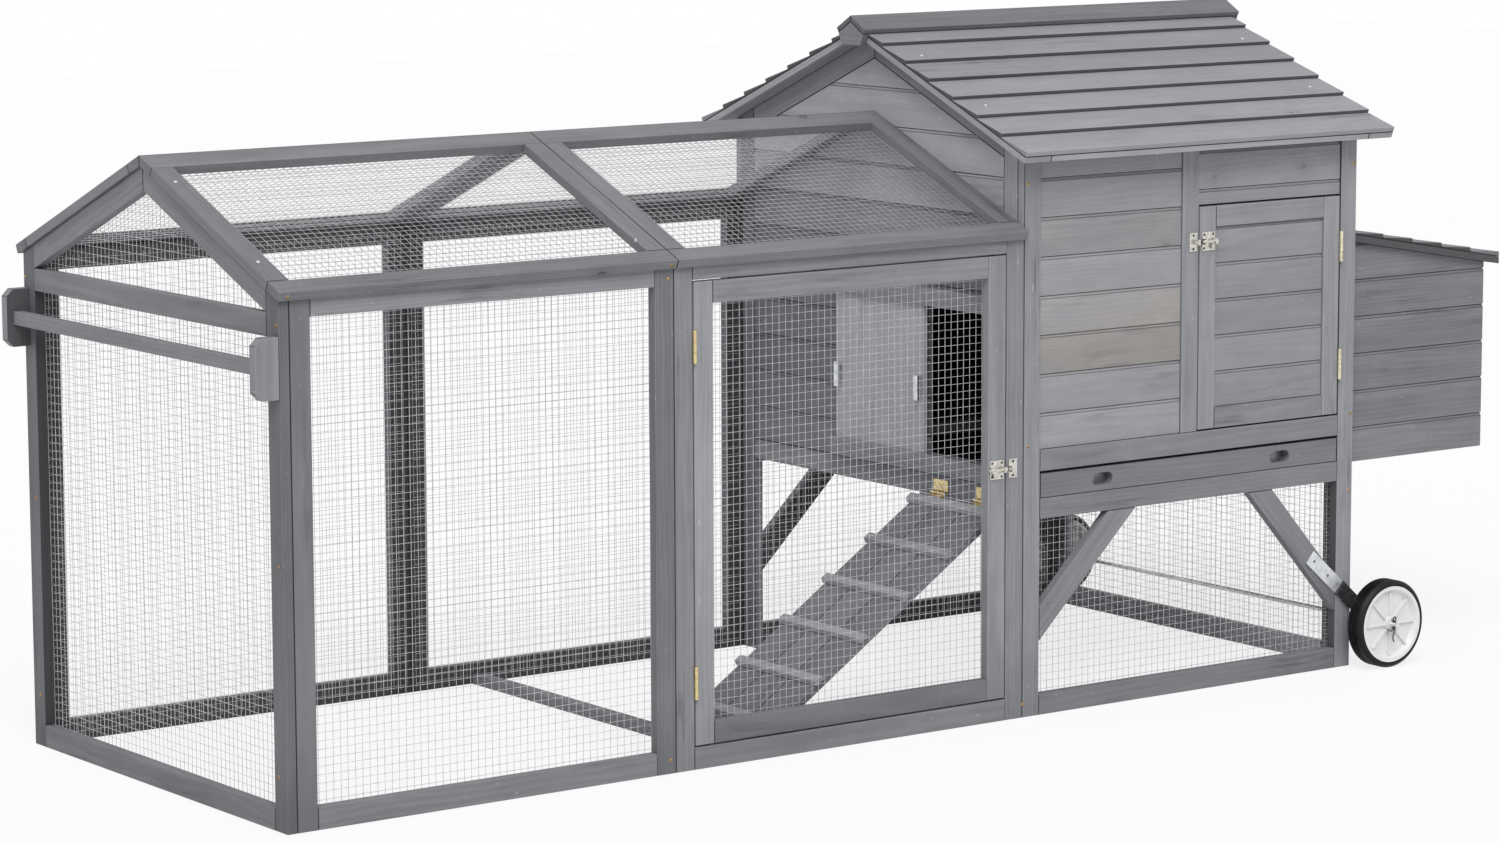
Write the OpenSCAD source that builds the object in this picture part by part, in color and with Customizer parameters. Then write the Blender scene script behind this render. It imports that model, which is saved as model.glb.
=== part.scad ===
// Chicken tractor: a movable coop with a mesh run, a raised house, a nest box and two wheels.
// The origin is on the ground under the middle, X runs along the part, Y across it and Z up.
// The front, with both doors, faces -Y. The run's end, with the handle, faces -X.

/* [Overall] */
// Length of the run
run_len = 1388; // [1340:1:1460]
// Length of the house
house_len = 730; // [700:1:780]
// Width over the side panels
width = 793; // [750:1:840]
// Height of the house's side panels
house_wall_h = 933; // [920:1:970]
// Drop from the house's side panels to the run's
run_drop = 142; // [130:1:160]
// Pitch of both roofs in degrees
roof_pitch = 22.5; // [20:0.5:25]

/* [Timber] */
// Face width of stiles, rails and posts
timber_w = 35; // [31:0.5:38]
// Thickness of the framing timber
timber_t = 17; // [15:0.5:19]
// Height of one cladding board
board_pitch = 64; // [58:1:70]
// Thickness of a cladding board
board_t = 9; // [7:0.5:11]
// Height of the bevel on a board's top edge
board_bevel = 5; // [3:0.5:7]
// Hairline joint between two timbers
joint_gap = 0.2; // [0.15:0.05:0.4]
// Gap round a door
door_gap = 3; // [2.8:0.1:4]

/* [Run] */
// Length of the run's panel beside the house
run_door_panel = 692; // [660:1:720]
// Height of the rail over the run door
run_head_h = 24; // [20:1:28]
// Height of the top rail of a mesh panel
run_top_h = 30; // [26:1:34]
// Thickness of the run's roof frames
run_roof_t = 15; // [13:0.5:18]
// Overhang of the run's roof
run_eave = 8; // [5:1:14]
// Overhang of the run's roof past its end
run_verge = 6; // [3:1:10]
// Width of the batten that lies across the run's floor
floor_rail_w = 24; // [20:1:32]

/* [Wire mesh] */
// Pitch of the welded mesh
mesh_pitch = 12.7; // [10:0.1:16]
// Squares of the real mesh that one gap of the solid stands for
squares_n = 8; // [6:1:10]
// Thickness of the wire
wire_d = 1.4; // [1:0.1:2]

/* [Handle] */
// Reach of the handle plates
handle_reach = 40; // [34:1:50]
// Height of a handle plate
handle_plate_h = 92; // [80:1:105]
// Drop from the tie over the handle to the middle of the handle
handle_drop = 43; // [36:1:60]
// Height of the handle bar
handle_bar_h = 21; // [20:1:32]
// Cut corner of a handle plate
handle_cut = 11; // [6:1:15]

/* [House] */
// Underside of the rail below the tray
tray_rail_z = 326; // [315:1:340]
// Height of the tray's bay
tray_bay_h = 44; // [40:1:50]
// Width of the house door
house_door_w = 315; // [290:1:340]
// Height of the boards over the house door
door_head_h = 113; // [105:1:130]
// Height of the cut board right over the house door
door_strip_h = 26; // [20:1:34]
// Setback of the cladding from the frame's face
board_setback = 3; // [2:0.5:5]
// Width of a brace
brace_w = 40; // [34:1:46]
// Clear length that a brace cuts off the rail
brace_in = 149; // [135:1:160]
// Angle of the plain braces in degrees
brace_deg = 44.5; // [42:0.5:47]
// Angle of the braces that carry the wheels in degrees
wheel_brace_deg = 48; // [45:0.5:51]

/* [Pop door and ramp] */
// Width of the pop doorway
pop_w = 198; // [180:1:210]
// Height of the boards over the pop doorway, up to the run's eaves
pop_head_h = 134; // [125:1:150]
// Threshold of the pop doorway above the sill of the tray
pop_sill = 48; // [42:1:56]
// Width of the pop door
pop_door_w = 243; // [230:1:260]
// Thickness of the pop door
pop_door_t = 8; // [6:0.5:10]
// Width of the ramp
ramp_w = 210; // [195:1:220]
// Length of the ramp
ramp_len = 600; // [580:1:620]
// Thickness of the ramp's plank
ramp_t = 12; // [10:0.5:15]
// Distance between two cleats
cleat_pitch = 106; // [98:1:114]
// Height of a perch
perch_h = 21; // [18:1:26]

/* [House roof] */
// Overhang past the eaves
eave_over = 44; // [36:1:50]
// Overhang past the gables
verge_over = 38; // [30:1:44]
// Thickness of the roof battens
roof_batten_t = 11; // [9:0.5:14]
// Lapped boards on each slope
roof_boards = 7; // [6:1:8]
// Thickness of a lapped board at its lower edge
lap_t = 9; // [7:0.5:11]
// Thickness of a lapped board at its upper edge
lap_thin_t = 3; // [2:0.5:4]
// Width of a ridge board, seen from above
ridge_half = 34; // [30:1:40]
// Pitch of the ridge boards in degrees
ridge_pitch = 30; // [27:1:34]
// Overhang of the ridge past the gables
ridge_over = 51; // [47:1:60]

/* [Nest box] */
// Length of the nest box
nest_len = 327; // [300:1:350]
// Setback of the nest box from the side panels
nest_in = 20; // [18:1:28]
// Underside of the nest box
nest_z = 352; // [348:1:360]
// Height of the lowest nest board
nest_first_h = 60; // [50:1:64]
// Drop from the house's side panels to the lid's underside
lid_drop = 197; // [188:1:215]
// Pitch of the lid in degrees
lid_pitch = 10; // [8:0.5:12]
// Overhang of the lid past the nest box
lid_over = 25; // [18:1:35]
// Lapped boards on the lid
lid_boards = 5; // [4:1:6]

/* [Wheels] */
// Outer diameter of a tyre
wheel_d = 152; // [140:1:165]
// Width of a tyre
wheel_w = 35; // [30:1:40]
// Outer diameter of a hub
hub_d = 132; // [122:1:138]
// Diameter of the axle
axle_d = 8; // [7:0.5:10]
// Axle behind the house's end
axle_out = 45; // [40:1:52]
// Gap between a side panel and its tyre
wheel_out = 23; // [20:1:28]
// Width of a wheel strap
strap_w = 26; // [22:1:30]
// Thickness of a wheel strap
strap_t = 3; // [2:0.5:4]
// Length of a wheel strap
strap_len = 112; // [104:1:120]

/* [Hardware] */
// Height of a butt hinge
hinge_h = 52; // [46:1:58]
// Width of a hinge leaf
hinge_leaf = 14; // [12:0.5:15]
// Radius of a hinge knuckle
knuckle_r = 3.2; // [2.8:0.1:3.6]
// Radius of a hinge pin
pin_r = 1.5; // [1.2:0.1:1.8]
// Radial clearance of a pin or an axle
run_fit = 0.08; // [0.06:0.01:0.1]
// Gap beside a sliding piece
slide_gap = 0.4; // [0.3:0.05:0.6]
// Height of a barrel bolt's plate
latch_h = 31; // [28:1:36]
// Radius of a barrel bolt
bolt_r = 3; // [2.5:0.1:3.4]
// Travel of a barrel bolt
bolt_travel = 12; // [10:0.5:13]

/* [Hidden] */
$fn = 48;

// Places along X
overall = handle_reach + run_len + house_len + nest_len + lid_over;
x_run = handle_reach - overall / 2;
x_house = x_run + run_len;
x_mid = x_house - run_door_panel;
x_end = x_house + house_len;
x_nest = x_end + nest_len;
x_lid = x_nest + lid_over;
x_side = x_run + timber_t + joint_gap;
floor_rail_in = 121;
// Places across Y, as distances from the middle
half = width / 2;
inner = half - timber_t - joint_gap;
stile_in = inner - timber_w;
nest_y = half - nest_in;
// Slopes
run_wall_h = house_wall_h - run_drop;
tan_roof = tan(roof_pitch);
run_ridge = run_wall_h + joint_gap + half * tan_roof;
house_ridge = house_wall_h + joint_gap + half * tan_roof;
run_a = half + run_eave;
rail_plan = timber_w * cos(roof_pitch);
tie_top = run_ridge - (half - timber_w) * tan_roof - timber_w / cos(roof_pitch) - joint_gap;
handle_z = tie_top - timber_w - handle_drop;
house_a = half + eave_over;
ridge_split = 1;
// Seat of the ridge boards on the first lapped boards
lap_step = (house_a - ridge_split) / roof_boards;
lap_rise = lap_thin_t + (lap_t - lap_thin_t) * ridge_half / lap_step;
ridge_seat = house_ridge - ridge_half * tan_roof + joint_gap
    + (roof_batten_t + joint_gap + lap_rise) / cos(roof_pitch);
// Heights in the house
tray_z = tray_rail_z + timber_w;
sill_z = tray_z + tray_bay_h;
sill_top = sill_z + timber_w;
head_z = house_wall_h - door_head_h;
house_door_h = head_z - sill_top - 2 * door_gap;
lid_z = house_wall_h - lid_drop;
nest_sill_h = 79;
end_rail_z = lid_z - timber_w;
wall_lift = 14;
wall_bottom = tray_rail_z + wall_lift;
// House door
hd_x1 = x_end - timber_w - door_gap;
hd_x0 = hd_x1 - house_door_w;
hd_z0 = sill_top + door_gap;
hd_stile_x0 = hd_x0 - door_gap - timber_w;
// Run door
rd_x0 = x_mid + timber_w + door_gap;
rd_x1 = x_house - timber_w - door_gap;
rd_z0 = timber_w + door_gap;
rd_z1 = run_wall_h - run_head_h - door_gap;
// Flap hinges of the ramp and the nest lid
flap_pin_out = 6;
flap_start = 8;
flap_leaf_w = 38;
flap_leaf = 22;
flap_short = 11;
// Pop doorway and its guides
pop_y0 = -stile_in + joint_gap;
pop_y1 = pop_y0 + pop_w;
pop_z0 = tray_z + pop_sill;
pop_h = run_wall_h - pop_head_h - pop_z0;
pop_lap = 10;
pop_guide_h = 20;
pop_cover_t = 6;
pop_slot = pop_door_t + 2 * slide_gap;
grip_w = 12;
grip_h = 42;
grip_reach = 9;
grip_hole = 5;
grip_share = 0.44;
pop_door_x = x_house - joint_gap - slide_gap;
// Ramp
ramp_pin_up = 6;
ramp_pin_x = x_house - flap_pin_out;
ramp_pin_z = wall_bottom + ramp_pin_up;
ramp_start = 2.5;
ramp_boards_n = 3;
ramp_y = pop_y0 + ramp_w / 2;
ramp_reach = ramp_start + ramp_len;
ramp_drop = knuckle_r + ramp_t;
ramp_deg = asin((ramp_pin_z - joint_gap) / norm([ramp_reach, ramp_drop])) - atan2(ramp_drop, ramp_reach);
cleat_h = 9;
cleat_w = 20;
cleat_over = 5;
cleat_first = 10;
cleat_n = floor((ramp_len - cleat_first - cleat_w) / cleat_pitch) + 1;
// Perch
perch_y = -20;
perch_lift = 10;
perch_z = sill_z + perch_lift;
// Tray
slot_len = 44;
slot_h = 20;
slot_shares = [0.2, 0.8];
tray_top_gap = 5;
pan_h = 26;
pan_t = 1.5;
runner_w = 20;
tray_x0 = x_house + timber_w + door_gap;
tray_x1 = x_end - timber_w - door_gap;
// Nest
batten = 20;
nest_floor_t = 9;
lid_batten_t = 12;
lid_side = 12;
tan_lid = tan(lid_pitch);
lid_x0 = x_end + door_gap;
lid_step = (x_lid - lid_x0) / lid_boards;
lid_seat = joint_gap + lid_batten_t + joint_gap;
// Slope of the first lid board's top, and the hinge pin over it
lid_top_slope = tan_lid - (lap_t - joint_gap - lap_thin_t) / cos(lid_pitch) / lid_step;
lid_top_deg = atan(lid_top_slope);
lid_pin_x = x_end + flap_pin_out;
lid_pin_z = lid_z - door_gap * tan_lid + (lid_seat + lap_thin_t) / cos(lid_pitch)
    - (lid_pin_x - lid_x0) * lid_top_slope + knuckle_r / cos(lid_top_deg);
// Mesh
net_cell = mesh_pitch * squares_n;
net_edge = 9;
// Wheels
axle_x = x_end + axle_out;
axle_z = wheel_d / 2;
strap_in = 63;
brace_mid = brace_in + brace_w / sin(wheel_brace_deg) / 2;
strap_x = x_end - timber_w - strap_in;
strap_z = tray_rail_z - (brace_mid - strap_in) * tan(wheel_brace_deg);
arm_deg = atan2(axle_z - strap_z, axle_x - strap_x);
arm_full = norm([axle_x - strap_x, axle_z - strap_z]);
arm_lap = 22;
screw_d = 5;
screw_shares = [0.12, 0.5];
bolt_d = 6;
boss_r = 13;
hub_proud = 2;
hub_lip = 6;
hub_web = 5;
hub_dish = 9;
rib_t = 4;
rib_n = 8;
tyre_round = 5;
groove_w = 3;
groove_d = 2;
groove_shares = [0.28, 0.5, 0.72];
tread_w = wheel_w - 2 * tyre_round;
arm_gap = 1;
hub_in = half + 2 * strap_t + 2 * joint_gap + arm_gap;
hub_out = half + wheel_out + wheel_w + hub_proud;
washer_t = 1.6;
washer_r = 10;
split_d = 2.4;
split_len = 26;
split_gap = 1.2;
axle_tip = 6;
axle_half = hub_out + slide_gap + washer_t + split_gap + split_d + axle_tip;
// Hardware
leaf_t = 1.2;
knuckle_n = 3;
knuckle_gap = 0.3;
latch_len = 28;
latch_t = 1.2;
latch_in = 4;
loop_len = 5;
loop_wall = 1.6;
keeper_len = 17;
keeper_in = 4;
knob_r = 2.2;
knob_len = 10;
bolt_axis = latch_t + bolt_r + loop_wall / 2;
run_latch_up = 15;
run_latch_z = (rd_z0 + rd_z1) / 2 + run_latch_up;
house_latch_share = 0.845;
house_latch_z = hd_z0 + house_door_h * house_latch_share;
run_hinge_share = 0.102;
run_hinge_in = (rd_z1 - rd_z0) * run_hinge_share;
run_hinge_z = [rd_z0 + run_hinge_in, rd_z1 - run_hinge_in - hinge_h];
house_hinge_share = 0.16;
house_hinge_in = house_door_h * house_hinge_share;
house_hinge_z = [hd_z0 + house_hinge_in, hd_z0 + house_door_h - house_hinge_in - hinge_h];
nest_hinge_share = 0.62;
ramp_hinge_shares = [-0.27, 0.27];
cut = 1;

// Helpers
// Box between two corners
module box(x0, x1, y0, y1, z0, z1) {
    translate([x0, y0, z0]) cube([x1 - x0, y1 - y0, z1 - z0]);
}
// Outline in Y and Z, run along X
module along_x(x0, x1) {
    translate([x0, 0, 0]) rotate([90, 0, 90]) linear_extrude(x1 - x0) children();
}
// Outline in X and Z, run along Y
module along_y(y0, y1) {
    translate([0, y1, 0]) rotate([90, 0, 0]) linear_extrude(y1 - y0) children();
}
module both_sides() {
    children();
    mirror([0, 1, 0]) children();
}
module front_plane() {
    translate([0, -half, 0]) children();
}
// Points on a slope that falls with distance a from the middle
function slope_z(ridge, a) = ridge - a * tan_roof;
function square_cut(ridge, a, n) = [a + n * sin(roof_pitch), slope_z(ridge, a) + n * cos(roof_pitch)];
function plumb_cut(ridge, a, n) = [a, slope_z(ridge, a) + n / cos(roof_pitch)];
// Strip on the +Y slope between two distances from the middle and two heights above the slope
module slope_strip(x0, x1, ridge, a0, a1, n0, n1) {
    along_x(x0, x1) polygon([plumb_cut(ridge, a0, n0), square_cut(ridge, a1, n0),
        square_cut(ridge, a1, n1), plumb_cut(ridge, a0, n1)]);
}
// Strip as above with both ends square to the slope
module square_strip(x0, x1, ridge, a0, a1, n0, n1) {
    along_x(x0, x1) polygon([square_cut(ridge, a0, n0), square_cut(ridge, a1, n0),
        square_cut(ridge, a1, n1), square_cut(ridge, a0, n1)]);
}
// Outline of an end wall under a roof
module under_roof(ridge, a, z0) {
    polygon([[-a, z0], [a, z0], [a, slope_z(ridge, a) - joint_gap], [0, ridge - joint_gap],
        [-a, slope_z(ridge, a) - joint_gap]]);
}
// Panel of two stiles and two rails standing in X and Z, its thickness in +Y
module panel(x0, x1, z0, z1, low_h, top_h) {
    box(x0, x0 + timber_w, 0, timber_t, z0, z1);
    box(x1 - timber_w, x1, 0, timber_t, z0, z1);
    box(x0 + timber_w + joint_gap, x1 - timber_w - joint_gap, 0, timber_t, z0, z0 + low_h);
    box(x0 + timber_w + joint_gap, x1 - timber_w - joint_gap, 0, timber_t, z1 - top_h, z1);
}
// Flat net with square gaps
module net(w, h) {
    nx = max(1, round(w / net_cell));
    ny = max(1, round(h / net_cell));
    gx = (w - wire_d) / nx;
    gy = (h - wire_d) / ny;
    gaps = [for (i = [0 : nx - 1], j = [0 : ny - 1], c = [[0, 0], [0, 1], [1, 1], [1, 0]])
        [wire_d + i * gx + c[0] * (gx - wire_d), wire_d + j * gy + c[1] * (gy - wire_d)]];
    linear_extrude(wire_d) polygon(concat([[0, 0], [w, 0], [w, h], [0, h]], gaps),
        concat([[0, 1, 2, 3]], [for (k = [1 : nx * ny]) [4 * k, 4 * k + 1, 4 * k + 2, 4 * k + 3]]));
}
// Net standing in X and Z against the inside of the front plane
module side_net(x0, x1, z0, z1) {
    translate([x0, -inner + wire_d, z0]) rotate([90, 0, 0]) net(x1 - x0, z1 - z0);
}
// Net standing in Y and Z
module end_net(x, a, z0, z1) {
    translate([x, -a, z0]) rotate([90, 0, 90]) net(2 * a, z1 - z0);
}
// Shiplap boards standing in X and Z between two heights, with a bevel along each top edge
module shiplap(x0, x1, z0, z1, seam_z) {
    first = floor((z0 - seam_z) / board_pitch);
    last = ceil((z1 - seam_z) / board_pitch) - 1;
    for (k = [first : last]) {
        low = max(z0, seam_z + k * board_pitch);
        top = min(z1, seam_z + (k + 1) * board_pitch - joint_gap);
        if (top - low > board_bevel)
            along_x(x0, x1) polygon([[0, low], [board_t, low], [board_t, top], [board_t / 3, top],
                [0, top - board_bevel]]);
    }
}
// One post of an end wall, cut to the roof
module end_post(x0, x1, ridge, a0, a1) {
    intersection() {
        box(x0, x1, a0, a1, 0, ridge);
        along_x(x0, x1) under_roof(ridge, a1, 0);
    }
}
// Gable rafter between a post and the ridge
module gable_rafter(x0, x1, ridge, a) {
    along_x(x0, x1) polygon([plumb_cut(ridge, joint_gap, -timber_w), plumb_cut(ridge, a, -timber_w),
        plumb_cut(ridge, a, -joint_gap), plumb_cut(ridge, joint_gap, -joint_gap)]);
}
// Lapped boards on the +Y slope
module lapped_boards(x0, x1, ridge, a0, a1, n0, count) {
    step = (a1 - a0) / count;
    for (k = [0 : count - 1])
        along_x(x0, x1) polygon([square_cut(ridge, a0 + k * step + joint_gap, n0),
            square_cut(ridge, a0 + (k + 1) * step, n0),
            square_cut(ridge, a0 + (k + 1) * step, n0 + lap_t),
            square_cut(ridge, a0 + k * step + joint_gap, n0 + lap_thin_t)]);
}
// Butt hinge in a gap: pin along Z at the origin, leaves in +Y, the fixed leaf at -X
module hinge_leaf_solid(side) {
    mirror([side < 0 ? 0 : 1, 0, 0])
        box(-door_gap / 2 + joint_gap / 2, -door_gap / 2 + joint_gap / 2 + leaf_t,
            knuckle_r + joint_gap, knuckle_r + joint_gap + hinge_leaf, 0, hinge_h);
}
module knuckle(k, side) {
    z0 = k * hinge_h / knuckle_n + (k > 0 ? knuckle_gap / 2 : 0);
    z1 = (k + 1) * hinge_h / knuckle_n - (k < knuckle_n - 1 ? knuckle_gap / 2 : 0);
    translate([0, 0, z0]) cylinder(h = z1 - z0, r = knuckle_r);
    mirror([side < 0 ? 0 : 1, 0, 0])
        box(-door_gap / 2 + joint_gap / 2, -door_gap / 2 + joint_gap / 2 + leaf_t, 0,
            knuckle_r + joint_gap + hinge_leaf, z0, z1);
}
module hinge_fixed() {
    difference() {
        union() {
            hinge_leaf_solid(-1);
            for (k = [0 : 2 : knuckle_n - 1]) knuckle(k, -1);
        }
        translate([0, 0, -cut]) cylinder(h = hinge_h + 2 * cut, r = pin_r + run_fit);
    }
}
module hinge_moving() {
    hinge_leaf_solid(1);
    knuckle(1, 1);
    cylinder(h = hinge_h, r = pin_r);
}
// Hinge in the gap left of a door in the front plane, or right of it when flipped
module front_hinge(x, z, flip) {
    translate([x, -half - knuckle_r - joint_gap, z]) mirror([flip, 0, 0]) children();
}
// Flap hinge of the nest lid: the wall at -X, the lid at +X
module lid_hinge(y) {
    translate([lid_pin_x, y, lid_pin_z]) mirror([1, 0, 0]) children();
}
function lid_line(x) = lid_z - (x - x_end) * tan_lid;
// Flap hinge: pin along Y at the origin, the fixed leaf up a wall at +X, the moving leaf on a flap at -X
module flap_knuckle(k) {
    w = flap_leaf_w / knuckle_n;
    y0 = -flap_leaf_w / 2 + k * w + (k > 0 ? knuckle_gap / 2 : 0);
    y1 = -flap_leaf_w / 2 + (k + 1) * w - (k < knuckle_n - 1 ? knuckle_gap / 2 : 0);
    x1 = flap_pin_out - joint_gap;
    z0 = -knuckle_r + joint_gap;
    translate([0, y0, 0]) rotate([-90, 0, 0]) cylinder(h = y1 - y0, r = knuckle_r);
    if (k == 1) {
        box(-flap_start, 0, y0, y1, z0, z0 + leaf_t);
    } else {
        box(0, x1, y0, y1, -leaf_t / 2, leaf_t / 2);
        box(x1 - leaf_t, x1, y0, y1, 0, flap_start);
    }
}
module flap_fixed() {
    x1 = flap_pin_out - joint_gap;
    y1 = flap_leaf_w / 2;
    difference() {
        union() {
            box(x1 - leaf_t, x1, -y1, y1, knuckle_r + joint_gap, flap_leaf);
            for (k = [0 : 2 : knuckle_n - 1]) flap_knuckle(k);
        }
        translate([0, -flap_leaf_w, 0]) rotate([-90, 0, 0])
            cylinder(h = 2 * flap_leaf_w, r = pin_r + run_fit);
    }
}
module flap_moving() {
    y1 = flap_leaf_w / 2;
    z0 = -knuckle_r + joint_gap;
    box(-flap_short, -knuckle_r - joint_gap, -y1, y1, z0, z0 + leaf_t);
    flap_knuckle(1);
    translate([0, -y1, 0]) rotate([-90, 0, 0]) cylinder(h = flap_leaf_w, r = pin_r);
}
// Barrel bolt on a door's face: the door's edge at X 0, the keeper at +X, the face at Y 0
module latch_loop(x0) {
    difference() {
        box(x0, x0 + loop_len, -bolt_axis - bolt_r - loop_wall, -latch_t / 2,
            -bolt_r - loop_wall, bolt_r + loop_wall);
        translate([x0 - cut, -bolt_axis, 0]) rotate([0, 90, 0])
            cylinder(h = loop_len + 2 * cut, r = bolt_r + run_fit);
    }
}
module latch_back(x0, w) {
    box(x0, x0 + w, -latch_t - joint_gap, -joint_gap, -latch_h / 2, latch_h / 2);
}
module latch_plate() {
    difference() {
        union() {
            latch_back(-latch_in - latch_len, latch_len);
            latch_loop(-latch_in - latch_len);
            latch_loop(-latch_in - loop_len);
        }
        translate([-latch_in - latch_len - cut, -bolt_axis, 0]) rotate([0, 90, 0])
            cylinder(h = latch_len + 2 * cut, r = bolt_r + run_fit);
    }
}
module latch_bolt() {
    knob_x = -latch_in - latch_len + loop_len + knob_r + slide_gap;
    translate([-latch_in - latch_len - bolt_r, -bolt_axis, 0]) rotate([0, 90, 0])
        cylinder(h = latch_len + latch_in + bolt_r - joint_gap, r = bolt_r);
    translate([knob_x, -bolt_axis, -bolt_r - knob_len]) cylinder(h = knob_len + bolt_r, r = knob_r);
}
module latch_keeper() {
    translate([door_gap, 0, 0]) difference() {
        union() {
            latch_back(keeper_in, keeper_len);
            latch_loop(keeper_in);
        }
        translate([0, -bolt_axis, 0]) rotate([0, 90, 0])
            cylinder(h = keeper_in + loop_len + cut, r = bolt_r + 2 * run_fit);
    }
}
module run_latch() {
    translate([rd_x1, -half, run_latch_z]) children();
}
module house_latch() {
    translate([hd_x0, -half, house_latch_z]) mirror([1, 0, 0]) children();
}
// Ramp frame: the pin at the origin, the plank running down along -X
module ramp_place() {
    translate([ramp_pin_x, ramp_y, ramp_pin_z]) rotate([0, -ramp_deg, 0]) children();
}
// Strap frame: the upper end of the strap at the origin, the axle along +X, the panel's face at Y 0
module strap_place() {
    translate([strap_x, half, strap_z]) rotate([0, -arm_deg, 0]) children();
}

// Run
module run_end_frame() {
    color("dimgray") {
        both_sides() {
            end_post(x_run, x_run + timber_t, run_ridge, half - timber_w, half);
            gable_rafter(x_run, x_run + timber_t, run_ridge, half - timber_w - joint_gap);
        }
        a = half - timber_w - joint_gap;
        box(x_run, x_run + timber_t, -a, a, 0, timber_w);
        box(x_run, x_run + timber_t, -a, a, tie_top - timber_w, tie_top);
    }
}
module run_front_panel() {
    color("gray") front_plane() panel(x_side, x_mid - joint_gap, 0, run_wall_h, timber_w, run_top_h);
}
module run_door_surround() {
    color("gray") front_plane() panel(x_mid, x_house - joint_gap, 0, run_wall_h, timber_w, run_head_h);
}
module run_back_panels() {
    color("gray") mirror([0, 1, 0]) front_plane() {
        panel(x_side, x_mid - joint_gap, 0, run_wall_h, timber_w, run_top_h);
        panel(x_mid, x_house - joint_gap, 0, run_wall_h, timber_w, run_top_h);
    }
}
module run_floor_rail() {
    a = inner - wire_d - joint_gap;
    x0 = x_mid + floor_rail_in;
    color("gray") box(x0, x0 + floor_rail_w, -a, a, 0, timber_t);
}
module run_wall_mesh() {
    color("silver") {
        top = run_wall_h - net_edge;
        side_net(x_side + net_edge, x_mid - net_edge, net_edge, top);
        mirror([0, 1, 0]) {
            side_net(x_side + net_edge, x_mid - net_edge, net_edge, top);
            side_net(x_mid + net_edge, x_house - net_edge, net_edge, top);
        }
        a = inner - 2 * wire_d - joint_gap;
        end_net(x_side, a, net_edge, tie_top - net_edge);
        intersection() {
            end_net(x_side, a, tie_top - net_edge + joint_gap, run_ridge);
            along_x(x_run, x_side + timber_t) polygon([
                plumb_cut(run_ridge, 0, -net_edge), plumb_cut(run_ridge, a, -net_edge),
                [a, tie_top - net_edge], [-a, tie_top - net_edge],
                [-a, plumb_cut(run_ridge, a, -net_edge)[1]]]);
        }
    }
}
module run_roof_frame(x0, x1) {
    eave_in = run_a - rail_plan;
    slope_strip(x0, x1, run_ridge, ridge_split / 2, ridge_split / 2 + rail_plan, 0, run_roof_t);
    square_strip(x0, x1, run_ridge, eave_in, run_a, 0, run_roof_t);
    for (x = [x0, x1 - timber_w])
        square_strip(x, x + timber_w, run_ridge, ridge_split / 2 + rail_plan + joint_gap,
            eave_in - joint_gap, 0, run_roof_t);
}
module run_roof_frames() {
    color("gray") both_sides() {
        run_roof_frame(x_run - run_verge, x_mid - joint_gap);
        run_roof_frame(x_mid, x_house - joint_gap);
    }
}
module run_roof_net(x0, x1) {
    a0 = net_edge;
    a1 = inner - net_edge;
    translate([x0, a0, slope_z(run_ridge, a0)]) rotate([-roof_pitch, 0, 0])
        translate([0, 0, -joint_gap - wire_d]) net(x1 - x0, (a1 - a0) / cos(roof_pitch));
}
module run_roof_mesh() {
    color("silver") both_sides() {
        run_roof_net(x_side + 2 * wire_d, x_mid - net_edge);
        run_roof_net(x_mid + net_edge, x_house - net_edge);
    }
}
module handle_plates() {
    x1 = x_run - joint_gap;
    z0 = handle_z - handle_plate_h / 2;
    z1 = handle_z + handle_plate_h / 2;
    color("dimgray") both_sides() along_y(half - timber_t, half)
        polygon([[x1, z0], [x1, z1], [x_run - handle_reach + handle_cut, z1],
            [x_run - handle_reach, z1 - handle_cut], [x_run - handle_reach, z0 + handle_cut],
            [x_run - handle_reach + handle_cut, z0]]);
}
module handle_bar() {
    x0 = x_run - (handle_reach + timber_t) / 2;
    z0 = handle_z - handle_bar_h / 2;
    color("gray") box(x0, x0 + timber_t, -inner, inner, z0, z0 + handle_bar_h);
}

// House
module house_side_frame() {
    box(x_house, x_house + timber_w, 0, timber_t, 0, house_wall_h);
    box(x_end - timber_w, x_end, 0, timber_t, 0, house_wall_h);
    x0 = x_house + timber_w + joint_gap;
    x1 = x_end - timber_w - joint_gap;
    box(x0, x1, 0, timber_t, 0, timber_w);
    box(x0, x1, 0, timber_t, tray_rail_z, tray_z);
    box(hd_stile_x0, hd_stile_x0 + timber_w, 0, timber_t, sill_top + joint_gap, house_wall_h);
    box(x0, x1, 0, timber_t, sill_z, sill_top);
}
module house_front_frame() {
    color("gray") front_plane() house_side_frame();
}
module house_front_boards() {
    x0 = x_house + timber_w + joint_gap;
    x1 = x_end - timber_w - joint_gap;
    color("darkgray") front_plane() translate([0, board_setback, 0]) {
        shiplap(x0, hd_stile_x0 - joint_gap, sill_top + joint_gap, house_wall_h, head_z);
        shiplap(hd_stile_x0 + timber_w + joint_gap, x1, head_z, house_wall_h, head_z + door_strip_h);
    }
}
module house_back_frame() {
    color("gray") mirror([0, 1, 0]) front_plane() house_side_frame();
}
module house_back_boards() {
    x0 = x_house + timber_w + joint_gap;
    x1 = x_end - timber_w - joint_gap;
    color("darkgray") mirror([0, 1, 0]) front_plane() translate([0, board_setback, 0]) {
        shiplap(x0, hd_stile_x0 - joint_gap, sill_top + joint_gap, house_wall_h, head_z);
        shiplap(hd_stile_x0 + timber_w + joint_gap, x1, sill_top + joint_gap, house_wall_h, head_z);
        shiplap(x0, x1, tray_z + joint_gap, sill_z - joint_gap, tray_z + joint_gap);
    }
}
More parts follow.
